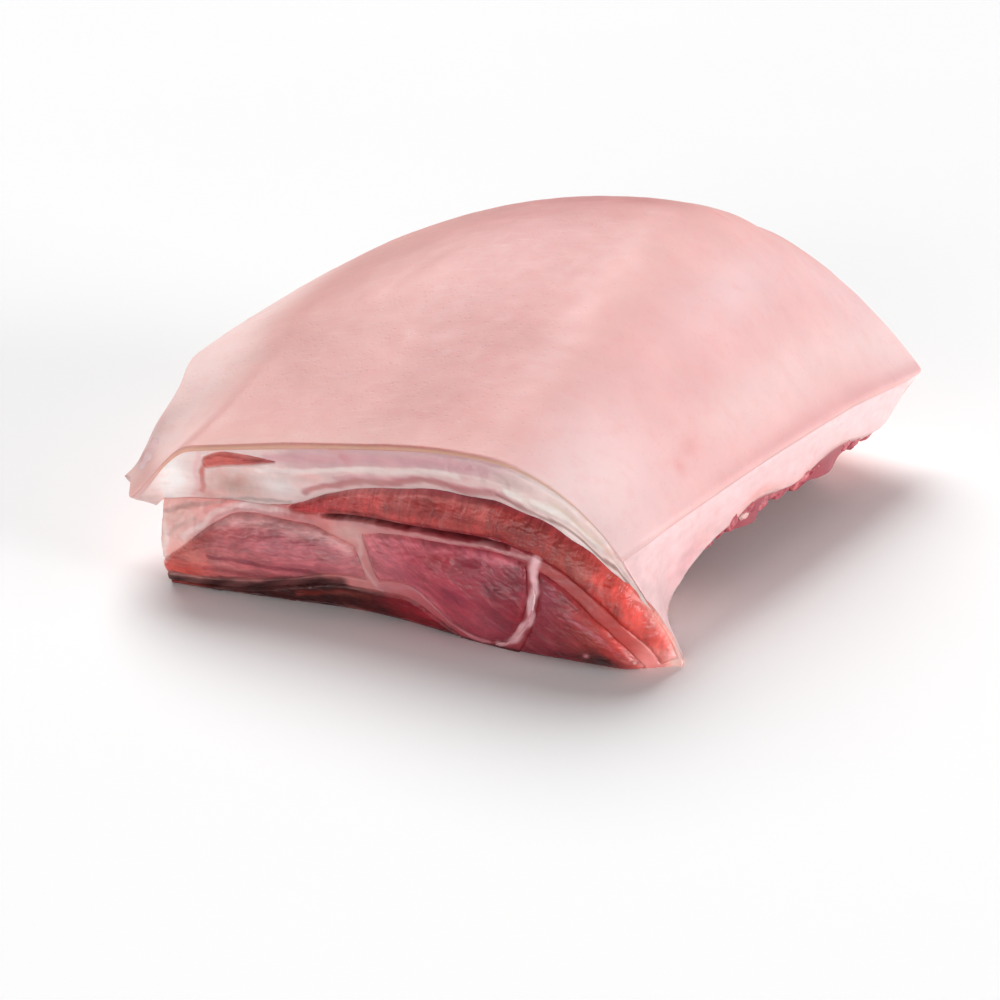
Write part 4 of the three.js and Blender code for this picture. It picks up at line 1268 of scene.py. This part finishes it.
class SLAB_OT_muscles(Operator):
    """Make the muscles: strands that run through the slab and stand out at both cuts"""
    bl_idname = "slab.muscles"
    bl_label = "Muscles"

    def execute(self, context):
        sizes = context.scene.slab_sizes
        cell = sizes.lean_cell / MM
        relief = relief_tree()
        strands = [(name, shape, through_lean) for name, shape in MUSCLES.items()]
        strands.append(("skin_lean", SKIN_LEAN, through_fat))
        for number, (name, shape, place) in enumerate(strands):
            wide = smooth_line(shape["top"])[0]
            width = np.linalg.norm(np.diff(wide, axis=0), axis=1).sum()
            loop = outline_of(shape, steps=20)
            bowed = name == "upper_lean"               # its outline is much taller than it is thick
            tall = np.ptp(loop[:, 1]) * (0.55 if bowed else 0.9)
            across, down = stations(width, cell, 1.2, 0.3), stations(tall, cell, 1.2, 0.3)
            along = stations(DEPTH, 14, 2, 1)
            at = strand_at(name, shape, place)
            block = closed_block(at, across, (along, along), down, sheets=(False, False))
            piece = block.mesh(name + "_strand")
            look = cut_lean("cut_" + name, np.radians(shape["fibres"]), shape["pale"], shape["wet"])
            finished(piece, relief, swell_size=0.008, swell_height=0.0016, grain_size=0.0016,
                     grain_height=0.0005, stretch=(0.6, 1.5, 0.2), bundle_size=sizes.bundle,
                     bundle_height=0.0005, seed=sizes.seed + 3.0 + number, material=look)
            kept(piece, shape["slot"], name)
        return {"FINISHED"}


def on_front(points, lift):
    """Points of the row frame that stand a lift out of the front cut, from x and z on it."""
    line = smooth_line(points, 10)[0]
    spot_on_cut = through_lean(line[:, 0], line[:, 1], np.zeros(len(line)))
    spot_on_cut[:, 1] -= lift
    return to_frame(spot_on_cut)


def lines_object(name, lines):
    """Several lines of points as one mesh of edges."""
    data = bpy.data.meshes.new(name)
    starts = np.cumsum([0] + [len(line) for line in lines])
    edges = [(i, i + 1) for line, start in zip(lines, starts) for i in range(start, start + len(line) - 1)]
    data.from_pydata(np.concatenate(lines), edges, [])
    piece = bpy.data.objects.new(name, data)
    bpy.context.scene.collection.objects.link(piece)
    return piece


class SLAB_OT_membranes(Operator):
    """Make the membranes: pale strands in the seams of the front cut"""
    bl_idname = "slab.membranes"
    bl_label = "Membranes"

    def execute(self, context):
        sizes = context.scene.slab_sizes
        lines = [on_front(points, lift) for points, lift in (
            ([[136.4, 27.4], [136.6, 22], [135.4, 16], [133.2, 10.4], [129, 5.4]], 0.3),
            ([[128.6, 5.6], [126.6, 3.4], [122, 1.4]], 0.5))]
        piece = lines_object("seam_membranes", lines)
        finished(piece, strand_tree(), half_width=sizes.membrane, wander=0.0016, seed=float(sizes.seed),
                 material=silverskin())
        kept(piece, "fat")
        return {"FINISHED"}


class SLAB_OT_scraps(Operator):
    """Make the ragged scraps of lean and fat that hang from the fat's lower edge on the right"""
    bl_idname = "slab.scraps"
    bl_label = "Hanging scraps"

    def execute(self, context):
        sizes = context.scene.slab_sizes
        lean = torn_lean("torn_lean_scraps", "#dc7a80", "#a03045")
        pale = torn_lean("torn_fat_scraps", "#fdeeea", "#eaa09c")
        for name, material, slot, stretches, scale in (
                ("lean_scraps", lean, "red_lean",
                 ((0.28, 0.56, 0.1), (0.36, 0.5, 0.35), (0.56, 0.84, 0.08)), 1.0),
                ("fat_scraps", pale, "fat",
                 ((0.34, 0.42, 0.5), (0.5, 0.6, 0.1), (0.62, 0.68, 0.2), (0.8, 0.86, 0.06)), 0.8)):
            lines = []
            for first, last, down in stretches:
                along = np.linspace(first, last, 24)
                at_edge, level = np.full_like(along, SCRAPS_AT), np.full_like(along, down)
                lines.append(to_frame(lean_point(at_edge, along, level)))
            piece = lines_object(name, lines)
            finished(piece, scrap_tree(), spacing=0.0036, smallest=0.4 * scale * sizes.scrap,
                     largest=scale * sizes.scrap, spread=0.0016, seed=sizes.seed, material=material)
            kept(piece, slot)
        return {"FINISHED"}


# The stage, in metres in the row frame. The camera is set so that the slab's upper outline falls on the
# photograph's. It looks down at 24 degrees.
EYE, TARGET = Vector((0.25164, -0.73891, 0.3492)), Vector((0.00917, -0.06425, 0.03))
VIEW_ANGLE = np.radians(24)
FLOOR_HALF = 4.0                                   # half the floor's width


class SLAB_OT_stage(Operator):
    """Set up the white paper floor, the soft light and the camera"""
    bl_idname = "slab.stage"
    bl_label = "Floor, light and camera"

    def execute(self, context):
        scene, settings = context.scene, context.scene.slab_stage
        scene.view_settings.view_transform = "Standard"
        wide = FLOOR_HALF
        data = bpy.data.meshes.new("paper_floor")
        data.from_pydata([(-wide, -wide, 0), (wide, -wide, 0), (wide, wide, 0), (-wide, wide, 0)], [],
                         [(0, 1, 2, 3)])
        floor = bpy.data.objects.new("paper_floor", data)
        floor.data.materials.append(studio_paper(settings.paper))
        scene.collection.objects.link(floor)
        world = bpy.data.worlds.new("studio")
        world.use_nodes = True
        world.node_tree.nodes["Background"].inputs["Color"].default_value = (1.0, 1.0, 1.0, 1.0)
        world.node_tree.nodes["Background"].inputs["Strength"].default_value = settings.sky
        scene.world = world
        for name, strength, spread, travels in (
                ("soft_key", settings.key, settings.spread, (0.58, -0.85, -1.0)),
                ("soft_fill", settings.fill, settings.spread, (0.12, 0.95, -0.04)),
                ("soft_side", settings.side, 0.9 * settings.spread, (-1.0, 0.1, -0.06))):
            light = bpy.data.lights.new(name, "SUN")
            light.energy, light.angle = strength, spread
            lamp = bpy.data.objects.new(name, light)
            lamp.rotation_euler = Vector(travels).to_track_quat("-Z", "Y").to_euler()
            scene.collection.objects.link(lamp)
        camera = bpy.data.cameras.new("camera")
        camera.sensor_fit, camera.angle = "HORIZONTAL", VIEW_ANGLE
        view = bpy.data.objects.new("camera", camera)
        view.location, view.rotation_euler = EYE, (TARGET - EYE).to_track_quat("-Z", "Y").to_euler()
        scene.collection.objects.link(view)
        scene.camera = view
        return {"FINISHED"}


OPERATORS = (SLAB_OT_rind, SLAB_OT_fat, SLAB_OT_muscles, SLAB_OT_membranes, SLAB_OT_scraps, SLAB_OT_stage)


class SLAB_PT_panel(Panel):
    bl_label = "Raw pork rib slab"
    bl_idname = "SLAB_PT_panel"
    bl_space_type = "VIEW_3D"
    bl_region_type = "UI"
    bl_category = "Slab"

    def draw(self, context):
        for group in (context.scene.slab_sizes, context.scene.slab_colours, context.scene.slab_stage):
            for name in group.bl_rna.properties.keys():
                if name not in ("rna_type", "name"):
                    self.layout.prop(group, name)
        for operator in OPERATORS:
            self.layout.operator(operator.bl_idname)


GROUPS = {"slab_sizes": SlabSizes, "slab_colours": SlabColours, "slab_stage": StageSettings}
CLASSES = (*GROUPS.values(), *OPERATORS, SLAB_PT_panel)


def register():
    for cls in CLASSES:
        bpy.utils.register_class(cls)
    for name, group in GROUPS.items():
        setattr(bpy.types.Scene, name, PointerProperty(type=group))


def unregister():
    for name in GROUPS:
        delattr(bpy.types.Scene, name)
    for cls in reversed(CLASSES):
        bpy.utils.unregister_class(cls)


def main():
    register()
    for operator in OPERATORS:
        group, name = operator.bl_idname.split(".")
        getattr(getattr(bpy.ops, group), name)()


if __name__ == "__main__":
    main()
